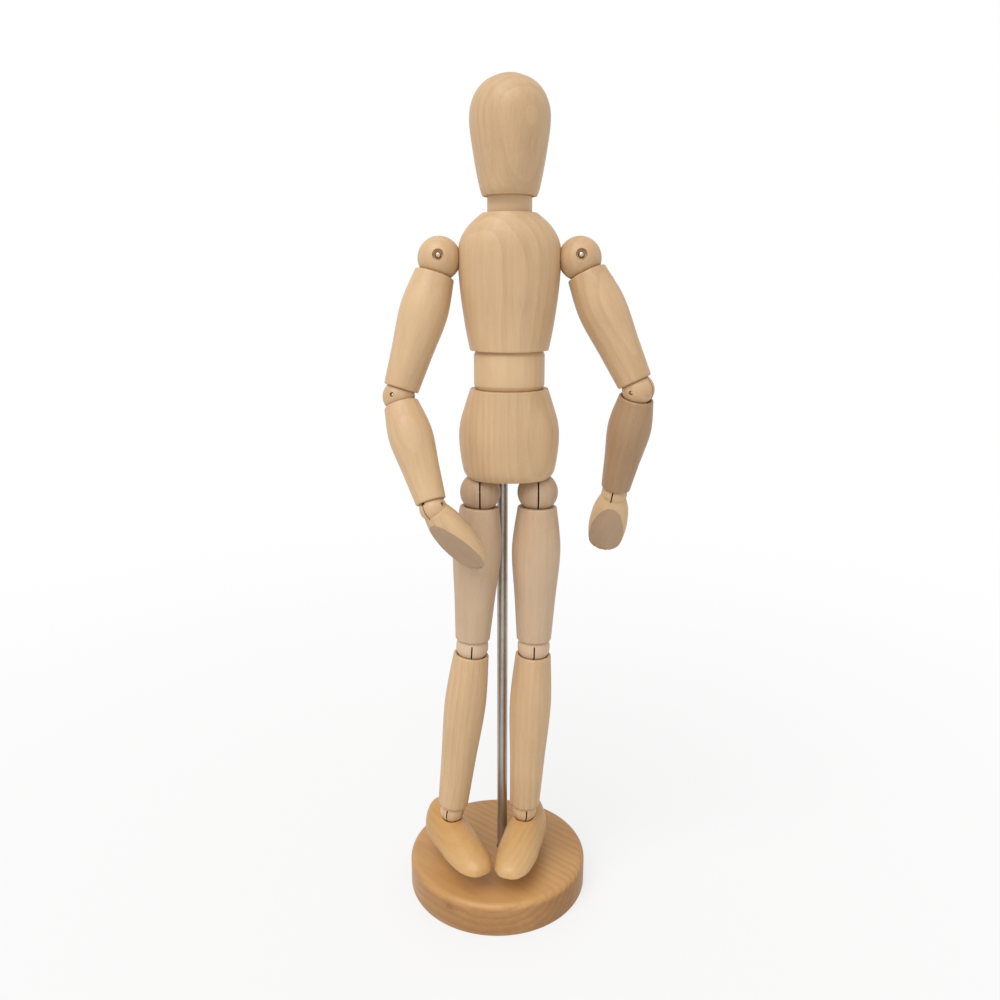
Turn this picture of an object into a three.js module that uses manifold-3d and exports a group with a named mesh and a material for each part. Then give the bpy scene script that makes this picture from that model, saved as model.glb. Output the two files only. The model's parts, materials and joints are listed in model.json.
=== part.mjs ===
// A jointed wooden drawing figure on a round stand, with slotted ball joints held by inner springs.
// Millimetres, +Z up. The figure faces -Y, and the origin is the middle of the stand's underside.
import * as THREE from 'three';
import { mergeVertices } from 'three/addons/utils/BufferGeometryUtils.js';
import Module from 'manifold-3d';

const wasm = await Module();
wasm.setup();

// Stand
const BASE_DIAMETER = 70;
const BASE_THICKNESS = 13;
const BASE_EDGE_RADIUS = 3.5;
const BASE_FOOT_CHAMFER = 0.8;
const ROD_DIAMETER = 4;
const ROD_CHAMFER = 0.5;
const ROD_DEPTH_IN_BASE = 8;
const ROD_DEPTH_IN_PELVIS = 14;
const ROD_BESIDE_MIDDLE = 1.9;
const ROD_BEHIND_MIDDLE = 1;
const FIGURE_BESIDE_ROD = 2.3;
const FIGURE_BEFORE_ROD = 8.2;
const SOLES_OVER_BASE = 9;

// Trunk and head
const PELVIS_WIDTH = 35;
const PELVIS_DEPTH = 27;
const PELVIS_HEIGHT = 31.5;
const PELVIS_RIM_DIAMETER = 27;
const PELVIS_UNDERSIDE_WIDTH = 28.5;
const WAIST_DIAMETER = 24.4;
const WAIST_BALL_DIAMETER = 26.4;
const WAIST_BAND = 13.2;
const CHEST_WIDTH = 34.2;
const CHEST_DEPTH = 27;
const CHEST_HEIGHT = 44.6;
const CHEST_RIM_DIAMETER = 27;
const CHEST_TOP_WIDTH = 18.5;
const NECK_DIAMETER = 14.9;
const NECK_BALL_DIAMETER = 15.8;
const NECK_BAND = 5.2;
const HEAD_WIDTH = 26.4;
const HEAD_DEPTH = 29;
const HEAD_HEIGHT = 37.2;
const HEAD_RIM_DIAMETER = 18;
const CHIN_FORWARD = 1.5;

// Arms: lengths run from ball centre to ball centre, and to the tip of the hand
const SHOULDER_BALL_DIAMETER = 14.6;
const SHOULDER_STANDOFF = 6.4;
const SHOULDER_BELOW_CHEST_TOP = 14.4;
const UPPER_ARM_LENGTH = 48;
const UPPER_ARM_TOP_DIAMETER = 13.6;
const UPPER_ARM_BULGE_DIAMETER = 16.4;
const UPPER_ARM_END_DIAMETER = 12;
const UPPER_ARM_TOP_GAP = 5.3;
const ELBOW_BALL_DIAMETER = 11;
const ELBOW_BAND = 5.6;
const FOREARM_LENGTH = 40;
const FOREARM_TOP_DIAMETER = 12;
const FOREARM_BULGE_DIAMETER = 15;
const FOREARM_END_DIAMETER = 10.4;
const WRIST_BALL_DIAMETER = 9.2;
const WRIST_BAND = 4.4;
const HAND_LENGTH = 27;
const HAND_WIDTH = 13.8;
const HAND_THICKNESS = 11;
const PALM_FROM_AXIS = 0.1;
const PALM_SLOPE_DEG = 12;
const PALM_TURN_DEG = 9;

// Legs: lengths run from ball centre to ball centre, and from the ankle to the sole
const HIP_SPACING = 20.5;
const HIP_BALL_DIAMETER = 14.5;
const HIP_BELOW_PELVIS = 5.4;
const THIGH_LENGTH = 58.7;
const THIGH_TOP_DIAMETER = 14.2;
const THIGH_BULGE_DIAMETER = 17.6;
const THIGH_END_DIAMETER = 12.8;
const THIGH_TOP_GAP = 5.2;
const KNEE_BALL_DIAMETER = 12;
const KNEE_BAND = 6;
const SHIN_LENGTH = 69.4;
const SHIN_TOP_DIAMETER = 13.2;
const SHIN_BULGE_DIAMETER = 15.6;
const SHIN_END_DIAMETER = 11.6;
const ANKLE_BALL_DIAMETER = 9.5;
const ANKLE_BAND = 5.8;
const ANKLE_OVER_SOLE = 13.5;
const FOOT_TOE_REACH = 25;
const FOOT_HEEL_REACH = 16;
const FOOT_WIDTH = 16;

// Joint hardware
const CLEARANCE = 0.35;
const PIN_DIAMETER = 1.2;
const PIN_SINK = 0.5;
const SHOULDER_PIN_DIAMETER = 1.8;
const SHOULDER_RECESS_DIAMETER = 3.8;
const SHOULDER_RECESS_DEPTH = 1.8;
const ANCHOR_PIN_DIAMETER = 1.6;
const ANCHOR_PIN_BURIED = 4;
const WIRE_DIAMETER = 0.56;
const EYE_CLEARANCE = 0.22;
const EYE_GAP = 0.24;
const EYE_LEAD = 1.2;
const SLOT_WIDTH = 1.8;
const HOOK_HOLE_DIAMETER = 2.8;
const ARM_BORE_DIAMETER = 4.8;
const LEG_BORE_DIAMETER = 6;
const TRUNK_BORE_DIAMETER = 6.4;
const SPRING_SIDE_CLEARANCE = 0.6;
const ARM_SPRING_TURNS = 3;
const LEG_SPRING_TURNS = 3;
const WAIST_SPRING_TURNS = 3;
const NECK_SPRING_TURNS = 2;
const SHOULDER_SPRING_TURNS = 4;
const SCREW_DIAMETER = 2;
const HIP_SCREW_LENGTH = 9;
const HIP_SCREW_SHANK = 9;
const FOOT_SCREW_LENGTH = 4.5;
const FOOT_SCREW_SHANK = 6.5;
const PELVIS_PIN_BELOW_RIM = 13;
const CHEST_WAIST_PIN_ABOVE_RIM = 13;
const CHEST_NECK_PIN_BELOW_TOP = 7;
const HEAD_PIN_ABOVE_RIM = 11;
const BORE_PAST_PIN = 3;

// Limb shape as shares: where along its length the widest ring and the taper lie, and how wide the taper is
const LIMB_BULGE_AT = 0.32;
const LIMB_TAPER_AT = 0.68;
const LIMB_TAPER_WIDTH = 0.45;
const LIMB_SIDE_STEPS = 6;
const RIM_ROUND_SHARE = 0.75;

// How far a cutting form runs past the surface it opens
const CUT_OVERRUN = 1;

// Pose in degrees: forward, outward and inward as the figure itself would say
const POSE = {
  left: {
    armSwing: 10.4, armLift: 24.6, elbowTurn: -40.5, elbowBend: 40.9, wristTurn: -71.9, wristBend: 9.1,
    hipTurn: 0, hipSwing: 1.2, thighSplay: -0.9, kneeTurn: 0, kneeBend: 2.2, shinSplay: -1.6,
    ankleTurn: -10, toesInward: 16,
  },
  right: {
    armSwing: 9, armLift: 17, elbowTurn: 20.5, elbowBend: 36.6, wristTurn: -69.9, wristBend: 30.6,
    hipTurn: 0, hipSwing: 1.2, thighSplay: 3.2, kneeTurn: 0, kneeBend: 1.2, shinSplay: 3.7,
    ankleTurn: -25, toesInward: 30,
  },
};
const SIDES = { left: 1, right: -1 };

// Facets
const TURNED_SIDES = 12;
const OVAL_SIDES = 18;
const BASE_SIDES = 32;
const ROD_SIDES = 12;
const FACET_SAG = 0.2;
const BORE_SIDES = 8;
const PIN_SIDES = 8;
const WIRE_SIDES = 5;
const CURL_STEPS = 8;
const EYE_STEPS = 6;
const ARC_STEPS = 2;
const PELVIS_RINGS = 8;
const CHEST_RINGS = 9;
const HEAD_RINGS = 12;
const HAND_RINGS = 9;
const FOOT_RINGS = 10;
const EDGE_ROUND = 0.7;
const WELD = 1e-4;

const EYE_SWEEP_DEG = 270;
const EYE_SHANK_DEG = -60;
const EYE_OFFSET = WIRE_DIAMETER / 2 + EYE_GAP / 2;
const rad = THREE.MathUtils.degToRad;
const Z_AXIS = new THREE.Vector3(0, 0, 1);

const MATERIALS = {
  wood: { color: 0xd8b98e, roughness: 0.5, metalness: 0 },
  footWood: { color: 0xd4a86c, roughness: 0.5, metalness: 0 },
  baseWood: { color: 0xbc8f5a, roughness: 0.5, metalness: 0 },
  steel: { color: 0xa9a9a6, roughness: 0.3, metalness: 1 },
  spring: { color: 0x8d8d8a, roughness: 0.4, metalness: 1 },
};

function piece(name, geometry, material) {
  const mesh = new THREE.Mesh(geometry, new THREE.MeshStandardMaterial(MATERIALS[material]));
  mesh.name = name;
  return mesh;
}

function groupAt(parent, name, x = 0, y = 0, z = 0) {
  const group = new THREE.Group();
  group.name = name;
  group.position.set(x, y, z);
  parent.add(group);
  return group;
}

// Closed meshes to solids and back
function toSolid(geometry) {
  const bare = geometry.clone();
  bare.deleteAttribute('normal');
  bare.deleteAttribute('uv');
  const merged = mergeVertices(bare, WELD);
  const corners = merged.index.array;
  const triangles = [];
  for (let i = 0; i < corners.length; i += 3) {
    const triangle = [corners[i], corners[i + 1], corners[i + 2]];
    if (new Set(triangle).size === 3) triangles.push(...triangle);
  }
  return new wasm.Manifold(new wasm.Mesh({
    numProp: 3,
    vertProperties: Float32Array.from(merged.attributes.position.array),
    triVerts: Uint32Array.from(triangles),
  }));
}

function toGeometry(solid) {
  const mesh = solid.getMesh();
  const geometry = new THREE.BufferGeometry();
  geometry.setAttribute('position', new THREE.BufferAttribute(Float32Array.from(mesh.vertProperties), 3));
  geometry.setIndex(new THREE.BufferAttribute(Uint32Array.from(mesh.triVerts), 1));
  geometry.computeVertexNormals();
  return geometry;
}

function cut(geometry, ...tools) {
  return toGeometry(tools.reduce((body, tool) => body.subtract(toSolid(tool)), toSolid(geometry)));
}

function join(geometry, ...others) {
  return toGeometry(others.reduce((body, other) => body.add(toSolid(other)), toSolid(geometry)));
}

// Basic forms
function turned(profile, sides = TURNED_SIDES) {
  return new THREE.LatheGeometry(profile, sides).rotateX(Math.PI / 2);
}

// Enough facets that no chord falls further inside the round than the allowed sag
function ball(radius) {
  const sides = 2 * Math.ceil(Math.PI / (2 * Math.acos(1 - FACET_SAG / radius)));
  return new THREE.SphereGeometry(radius, sides, sides / 2 + 1).rotateX(Math.PI / 2);
}

function cylinder(diameter, bottom, top, sides = BORE_SIDES) {
  const form = new THREE.CylinderGeometry(diameter / 2, diameter / 2, top - bottom, sides);
  return form.rotateX(Math.PI / 2).translate(0, 0, (bottom + top) / 2);
}

function alongX(geometry) {
  return geometry.rotateY(Math.PI / 2);
}

function alongY(geometry) {
  return geometry.rotateX(-Math.PI / 2);
}

function box(width, depth, bottom, top) {
  return new THREE.BoxGeometry(width, depth, top - bottom).translate(0, 0, (bottom + top) / 2);
}

// A body of oval sections: each station is [height, width, depth], and forward moves a height towards -Y
function loft(stations, rings, forward = () => 0) {
  const spine = new THREE.CatmullRomCurve3(
    stations.map(([z, width, depth]) => new THREE.Vector3(width / 2, depth / 2, z)),
    false, 'centripetal',
  );
  const sections = spine.getPoints(rings);
  const positions = [0, -forward(sections[0].z), sections[0].z];
  for (const { x: halfWidth, y: halfDepth, z } of sections) {
    for (let i = 0; i < OVAL_SIDES; i += 1) {
      const angle = (i / OVAL_SIDES) * 2 * Math.PI;
      positions.push(halfWidth * Math.cos(angle), halfDepth * Math.sin(angle) - forward(z), z);
    }
  }
  const last = sections[rings];
  positions.push(0, -forward(last.z), last.z);
  const corner = (ring, i) => 1 + ring * OVAL_SIDES + (i % OVAL_SIDES);
  const index = [];
  for (let i = 0; i < OVAL_SIDES; i += 1) {
    index.push(0, corner(0, i + 1), corner(0, i));
    for (let ring = 0; ring < rings; ring += 1) {
      index.push(corner(ring, i), corner(ring, i + 1), corner(ring + 1, i + 1));
      index.push(corner(ring, i), corner(ring + 1, i + 1), corner(ring + 1, i));
    }
    index.push(corner(rings, i), corner(rings, i + 1), corner(rings + 1, 0));
  }
  const geometry = new THREE.BufferGeometry();
  geometry.setAttribute('position', new THREE.Float32BufferAttribute(positions, 3));
  geometry.setIndex(index);
  return geometry;
}

// Wire along straight steps between points
class WirePath extends THREE.Curve {
  constructor(points) {
    super();
    this.points = points;
  }

  getPoint(t, target = new THREE.Vector3()) {
    const place = Math.min(Math.max(t, 0), 1) * (this.points.length - 1);
    const step = Math.min(Math.floor(place), this.points.length - 2);
    return target.lerpVectors(this.points[step], this.points[step + 1], place - step);
  }

  getUtoTmapping(u) {
    return u;
  }
}

function wire(points) {
  const section = new THREE.Shape();
  for (let i = 0; i < WIRE_SIDES; i += 1) {
    const angle = (i / WIRE_SIDES) * 2 * Math.PI;
    const corner = [(WIRE_DIAMETER / 2) * Math.cos(angle), (WIRE_DIAMETER / 2) * Math.sin(angle)];
    if (i === 0) section.moveTo(...corner);
    else section.lineTo(...corner);
  }
  const settings = { steps: points.length - 1, extrudePath: new WirePath(points), bevelEnabled: false };
  return new THREE.ExtrudeGeometry(section, settings);
}

function eyeRadius(pinDiameter) {
  return pinDiameter / 2 + WIRE_DIAMETER / 2 + EYE_CLEARANCE;
}

function ballReach(ballDiameter) {
  return ballDiameter / 2 + CLEARANCE;
}

function slotOverPin(pinDiameter) {
  return eyeRadius(pinDiameter) + WIRE_DIAMETER / 2 + CLEARANCE;
}

// An open eye round a pin at a height, from its free end to its shank, which leads reach down (-1) or up (1)
function eyePoints(pinAngle, pinDiameter, height, side, lead, reach) {
  const along = new THREE.Vector3(Math.cos(pinAngle), Math.sin(pinAngle), 0);
  const across = new THREE.Vector3(-Math.sin(pinAngle), Math.cos(pinAngle), 0);
  const radius = eyeRadius(pinDiameter);
  const middle = along.clone().multiplyScalar(side * EYE_OFFSET).setZ(height);
  const points = [];
  for (let i = EYE_STEPS; i >= 0; i -= 1) {
    const angle = rad(EYE_SHANK_DEG + (EYE_SWEEP_DEG * i) / EYE_STEPS);
    const point = middle.clone().addScaledVector(across, radius * Math.cos(angle));
    points.push(point.addScaledVector(Z_AXIS, -lead * radius * Math.sin(angle)));
  }
  points.push(middle.clone().addScaledVector(Z_AXIS, lead * (radius + WIRE_DIAMETER)));
  points.push(middle.clone().addScaledVector(Z_AXIS, lead * reach));
  return points;
}

// A tension spring hung between a pin at the origin and a pin one length below it
function tensionSpring({
  length, turns, boreDiameter, startAngle, endAngle, startPin, endPin, startReach, endReach,
}) {
  const coilRadius = boreDiameter / 2 - WIRE_DIAMETER / 2 - SPRING_SIDE_CLEARANCE;
  const top = -(startReach + EYE_LEAD);
  const bottom = -(length - endReach - EYE_LEAD);
  const leftover = THREE.MathUtils.euclideanModulo(endAngle + Math.PI - startAngle, 2 * Math.PI);
  const sweep = turns * 2 * Math.PI + leftover;
  const steps = Math.round((sweep / (2 * Math.PI)) * CURL_STEPS);
  const points = eyePoints(startAngle, startPin, 0, 1, -1, startReach);
  for (let i = 0; i <= steps; i += 1) {
    const angle = startAngle + (sweep * i) / steps;
    const height = THREE.MathUtils.lerp(top, bottom, i / steps);
    points.push(new THREE.Vector3(coilRadius * Math.cos(angle), coilRadius * Math.sin(angle), height));
  }
  points.push(...eyePoints(endAngle, endPin, -length, -1, 1, endReach).reverse());
  return wire(points);
}

// A screw eye on a pin along X at the origin: direction -1 screws downwards, 1 upwards
function screwEye(shank, screwLength, direction, side) {
  const points = eyePoints(0, PIN_DIAMETER, 0, side, direction, shank - EYE_LEAD);
  points.push(new THREE.Vector3(0, 0, direction * shank));
  points.push(new THREE.Vector3(0, 0, direction * (shank + screwLength / 2)));
  const ends = [direction * shank, direction * (shank + screwLength)];
  return join(wire(points), cylinder(SCREW_DIAMETER, Math.min(...ends), Math.max(...ends), PIN_SIDES));
}

// A ball with its pin along X, a saw cut across the pin open below, and a hole above for the upper hook;
// a blind cut stops behind the pin's hooks
function slottedBall(diameter, pinDiameter, { hookHole = true, blind = false } = {}) {
  const reach = diameter / 2 + CUT_OVERRUN;
  const slotTop = slotOverPin(pinDiameter);
  const back = blind ? slotTop : reach;
  const tools = [
    box(SLOT_WIDTH, reach + back, -reach, slotTop).translate(0, (back - reach) / 2, 0),
    alongX(cylinder(pinDiameter + CLEARANCE, -reach, reach, PIN_SIDES)),
  ];
  if (hookHole) tools.push(cylinder(HOOK_HOLE_DIAMETER, slotTop - CLEARANCE, reach));
  return cut(ball(diameter / 2), ...tools);
}

function ballPin(ballDiameter) {
  const half = ballDiameter / 2 - PIN_SINK;
  return alongX(cylinder(PIN_DIAMETER, -half, half, PIN_SIDES));
}

// How far the rim of a limb may be rounded beside the cup for a ball that stands a gap past it
function rimRound(diameter, ballDiameter, gap) {
  const opening = Math.sqrt((ballDiameter / 2 + CLEARANCE) ** 2 - gap ** 2);
  return Math.min(EDGE_ROUND, RIM_ROUND_SHARE * (diameter / 2 - opening));
}

// A turned limb hanging from a ball centre at the origin, cupped at both ends and bored for its spring
function limb({ length, topGap, bottomGap, topDiameter, bulgeDiameter, endDiameter, topBall, endBall, bore }) {
  const top = -topGap;
  const bottom = bottomGap - length;
  const topRound = rimRound(topDiameter, topBall, topGap);
  const endRound = rimRound(endDiameter, endBall, bottomGap);
  const taper = THREE.MathUtils.lerp(endDiameter, bulgeDiameter, LIMB_TAPER_WIDTH);
  const side = new THREE.SplineCurve([
    new THREE.Vector2(endDiameter / 2, bottom + endRound),
    new THREE.Vector2(taper / 2, THREE.MathUtils.lerp(top, bottom, LIMB_TAPER_AT)),
    new THREE.Vector2(bulgeDiameter / 2, THREE.MathUtils.lerp(top, bottom, LIMB_BULGE_AT)),
    new THREE.Vector2(topDiameter / 2, top - topRound),
  ]);
  const profile = [
    new THREE.Vector2(0, bottom),
    new THREE.Vector2(endDiameter / 2 - endRound, bottom),
    ...side.getPoints(LIMB_SIDE_STEPS),
    new THREE.Vector2(topDiameter / 2 - topRound, top),
    new THREE.Vector2(0, top),
  ];
  return cut(
    turned(profile),
    ball(topBall / 2 + CLEARANCE),
    ball(endBall / 2 + CLEARANCE).translate(0, 0, -length),
    cylinder(bore, -length, 0),
  );
}

// Stand
function makeBase() {
  const radius = BASE_DIAMETER / 2;
  const edge = new THREE.Path();
  edge.moveTo(0, 0);
  edge.lineTo(radius - BASE_FOOT_CHAMFER, 0);
  edge.lineTo(radius, BASE_FOOT_CHAMFER);
  edge.lineTo(radius, BASE_THICKNESS - BASE_EDGE_RADIUS);
  edge.absarc(radius - BASE_EDGE_RADIUS, BASE_THICKNESS - BASE_EDGE_RADIUS, BASE_EDGE_RADIUS, 0, Math.PI / 2);
  edge.lineTo(0, BASE_THICKNESS);
  const disc = turned(edge.getPoints(ARC_STEPS), BASE_SIDES);
  const socketDiameter = ROD_DIAMETER + 2 * CLEARANCE;
  const socketFloor = BASE_THICKNESS - ROD_DEPTH_IN_BASE;
  const socket = cylinder(socketDiameter, socketFloor, BASE_THICKNESS + CUT_OVERRUN, ROD_SIDES);
  return cut(disc, socket.translate(ROD_BESIDE_MIDDLE, ROD_BEHIND_MIDDLE, 0));
}

function makeRod(bottom, top) {
  const radius = ROD_DIAMETER / 2;
  return turned([
    new THREE.Vector2(0, bottom),
    new THREE.Vector2(radius - ROD_CHAMFER, bottom),
    new THREE.Vector2(radius, bottom + ROD_CHAMFER),
    new THREE.Vector2(radius, top - ROD_CHAMFER),
    new THREE.Vector2(radius - ROD_CHAMFER, top),
    new THREE.Vector2(0, top),
  ], ROD_SIDES);
}

// A ball with its equator turned down to a narrower band, bored along the trunk
function bandedBall(ballDiameter, bandDiameter) {
  const boreLatitude = Math.acos(TRUNK_BORE_DIAMETER / ballDiameter);
  const bandLatitude = Math.acos(bandDiameter / ballDiameter);
  const arc = new THREE.Path().absarc(0, 0, ballDiameter / 2, bandLatitude, boreLatitude);
  const dome = arc.getPoints(ARC_STEPS);
  const under = dome.map((point) => new THREE.Vector2(point.x, -point.y)).reverse();
  return toGeometry(toSolid(turned([...under, ...dome, under[0]], OVAL_SIDES + 2)));
}

// A hole for an anchor pin along Y, drilled from the back at a height
function anchorHole(height, depth) {
  const front = -(TRUNK_BORE_DIAMETER / 2 + ANCHOR_PIN_BURIED + CLEARANCE);
  return alongY(cylinder(ANCHOR_PIN_DIAMETER + CLEARANCE, front, depth, PIN_SIDES)).translate(0, 0, height);
}

function anchorPin() {
  const half = TRUNK_BORE_DIAMETER / 2 + ANCHOR_PIN_BURIED;
  return alongY(cylinder(ANCHOR_PIN_DIAMETER, -half, half, PIN_SIDES));
}

// The pelvis stands on its underside at z = 0
function makePelvis() {
  const form = loft([
    [0, PELVIS_UNDERSIDE_WIDTH, PELVIS_DEPTH * 0.8],
    [PELVIS_HEIGHT * 0.1, PELVIS_WIDTH * 0.925, PELVIS_DEPTH * 0.93],
    [PELVIS_HEIGHT * 0.4, PELVIS_WIDTH, PELVIS_DEPTH],
    [PELVIS_HEIGHT * 0.62, PELVIS_WIDTH * 0.98, PELVIS_DEPTH],
    [PELVIS_HEIGHT * 0.85, PELVIS_WIDTH * 0.86, PELVIS_DEPTH * 0.99],
    [PELVIS_HEIGHT, PELVIS_RIM_DIAMETER, PELVIS_RIM_DIAMETER],
  ], PELVIS_RINGS);
  const tools = [
    ball(WAIST_BALL_DIAMETER / 2 + CLEARANCE).translate(0, 0, PELVIS_HEIGHT + WAIST_BAND / 2),
    cylinder(TRUNK_BORE_DIAMETER, PELVIS_HEIGHT - PELVIS_PIN_BELOW_RIM - BORE_PAST_PIN, PELVIS_HEIGHT),
    anchorHole(PELVIS_HEIGHT - PELVIS_PIN_BELOW_RIM, PELVIS_DEPTH),
    cylinder(ROD_DIAMETER + 2 * CLEARANCE, -CUT_OVERRUN, ROD_DEPTH_IN_PELVIS, ROD_SIDES)
      .translate(-FIGURE_BESIDE_ROD, FIGURE_BEFORE_ROD, 0),
  ];
  for (const side of Object.values(SIDES)) {
    const hip = [(side * HIP_SPACING) / 2, 0, -HIP_BELOW_PELVIS];
    const screwEnd = HIP_SCREW_SHANK + HIP_SCREW_LENGTH + CLEARANCE;
    tools.push(ball(HIP_BALL_DIAMETER / 2 + CLEARANCE).translate(...hip));
    tools.push(cylinder(SCREW_DIAMETER + 2 * CLEARANCE, 0, screwEnd, PIN_SIDES).translate(...hip));
  }
  return cut(form, ...tools);
}

function shoulderX() {
  return CHEST_WIDTH / 2 + SHOULDER_STANDOFF;
}

function shoulderZ() {
  return CHEST_HEIGHT - SHOULDER_BELOW_CHEST_TOP;
}

// The chest stands on its lower rim at z = 0
function makeChest() {
  const form = loft([
    [0, CHEST_RIM_DIAMETER, CHEST_RIM_DIAMETER * 0.98],
    [CHEST_HEIGHT * 0.2, CHEST_WIDTH * 0.89, CHEST_DEPTH * 0.98],
    [CHEST_HEIGHT * 0.5, CHEST_WIDTH * 0.99, CHEST_DEPTH],
    [CHEST_HEIGHT * 0.76, CHEST_WIDTH, CHEST_DEPTH * 0.95],
    [CHEST_HEIGHT * 0.9, CHEST_WIDTH * 0.83, CHEST_DEPTH * 0.84],
    [CHEST_HEIGHT, CHEST_TOP_WIDTH, CHEST_TOP_WIDTH],
  ], CHEST_RINGS);
  const tools = [
    ball(WAIST_BALL_DIAMETER / 2 + CLEARANCE).translate(0, 0, -WAIST_BAND / 2),
    ball(NECK_BALL_DIAMETER / 2 + CLEARANCE).translate(0, 0, CHEST_HEIGHT + NECK_BAND / 2),
    cylinder(TRUNK_BORE_DIAMETER, 0, CHEST_WAIST_PIN_ABOVE_RIM + BORE_PAST_PIN),
    cylinder(TRUNK_BORE_DIAMETER, CHEST_HEIGHT - CHEST_NECK_PIN_BELOW_TOP - BORE_PAST_PIN / 2, CHEST_HEIGHT),
    anchorHole(CHEST_WAIST_PIN_ABOVE_RIM, CHEST_DEPTH),
    anchorHole(CHEST_HEIGHT - CHEST_NECK_PIN_BELOW_TOP, CHEST_DEPTH),
    alongX(cylinder(ARM_BORE_DIAMETER, -shoulderX(), shoulderX())).translate(0, 0, shoulderZ()),
  ];
  for (const side of Object.values(SIDES)) {
    const seat = ball(SHOULDER_BALL_DIAMETER / 2 + CLEARANCE);
    tools.push(seat.translate(side * shoulderX(), 0, shoulderZ()));
  }
  return cut(form, ...tools);
}

// The head stands on its lower rim at z = 0
function makeHead() {
  const chin = (z) => CHIN_FORWARD * (1 - z / HEAD_HEIGHT);
  const form = loft([
    [0, HEAD_RIM_DIAMETER, HEAD_RIM_DIAMETER],
    [HEAD_HEIGHT * 0.07, HEAD_WIDTH * 0.75, HEAD_DEPTH * 0.74],
    [HEAD_HEIGHT * 0.3, HEAD_WIDTH * 0.88, HEAD_DEPTH * 0.88],
    [HEAD_HEIGHT * 0.62, HEAD_WIDTH, HEAD_DEPTH],
    [HEAD_HEIGHT * 0.8, HEAD_WIDTH * 0.91, HEAD_DEPTH * 0.92],
    [HEAD_HEIGHT * 0.92, HEAD_WIDTH * 0.66, HEAD_DEPTH * 0.67],
    [HEAD_HEIGHT * 0.985, HEAD_WIDTH * 0.3, HEAD_DEPTH * 0.3],
    [HEAD_HEIGHT, HEAD_WIDTH * 0.08, HEAD_DEPTH * 0.08],
  ], HEAD_RINGS, chin);
  return cut(
    form,
    ball(NECK_BALL_DIAMETER / 2 + CLEARANCE).translate(0, 0, -NECK_BAND / 2),
    cylinder(TRUNK_BORE_DIAMETER, 0, HEAD_PIN_ABOVE_RIM + BORE_PAST_PIN),
    anchorHole(HEAD_PIN_ABOVE_RIM, HEAD_DEPTH),
  );
}

function makeShoulderBall() {
  const half = SHOULDER_BALL_DIAMETER / 2;
  const tools = [1, -1].map((end) => {
    const depth = [end * (half - SHOULDER_RECESS_DEPTH), end * (half + CUT_OVERRUN)];
    return alongX(cylinder(SHOULDER_RECESS_DIAMETER, Math.min(...depth), Math.max(...depth), TURNED_SIDES));
  });
  return cut(slottedBall(SHOULDER_BALL_DIAMETER, SHOULDER_PIN_DIAMETER, { hookHole: false }), ...tools);
}

function makeShoulderPin() {
  const half = SHOULDER_BALL_DIAMETER / 2 - PIN_SINK;
  return alongX(cylinder(SHOULDER_PIN_DIAMETER, -half, half, PIN_SIDES));
}

// A hand hanging from its wrist ball, sawn flat on the palm; its pin lies along Y
function makeHand(side) {
  const wrist = WRIST_BALL_DIAMETER / 2;
  const paddle = loft([
    [-HAND_LENGTH, HAND_WIDTH * 0.1, HAND_THICKNESS * 0.1],
    [-HAND_LENGTH * 0.965, HAND_WIDTH * 0.48, HAND_THICKNESS * 0.5],
    [-HAND_LENGTH * 0.84, HAND_WIDTH * 0.84, HAND_THICKNESS * 0.88],
    [-HAND_LENGTH * 0.58, HAND_WIDTH, HAND_THICKNESS],
    [-HAND_LENGTH * 0.34, HAND_WIDTH * 0.96, HAND_THICKNESS],
    [-HAND_LENGTH * 0.2, HAND_WIDTH * 0.86, HAND_THICKNESS * 0.97],
    [-wrist * 0.3, WRIST_BALL_DIAMETER * 0.97, WRIST_BALL_DIAMETER * 0.97],
  ], HAND_RINGS);
  const palmSaw = box(2 * HAND_WIDTH, HAND_LENGTH, -2 * HAND_LENGTH, HAND_LENGTH);
  palmSaw.translate(0, -HAND_LENGTH / 2 - PALM_FROM_AXIS, 0);
  palmSaw.translate(0, 0, HAND_LENGTH).rotateX(rad(PALM_SLOPE_DEG)).translate(0, 0, -HAND_LENGTH);
  const palm = cut(paddle, palmSaw);
  palm.rotateZ(side * (Math.PI / 2 + rad(PALM_TURN_DEG)));
  const reach = wrist + CUT_OVERRUN;
  return cut(
    join(palm, ball(wrist)),
    box(2 * reach, SLOT_WIDTH, -slotOverPin(PIN_DIAMETER), reach),
    alongY(cylinder(PIN_DIAMETER + CLEARANCE, -reach, reach, PIN_SIDES)),
  );
}

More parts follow.
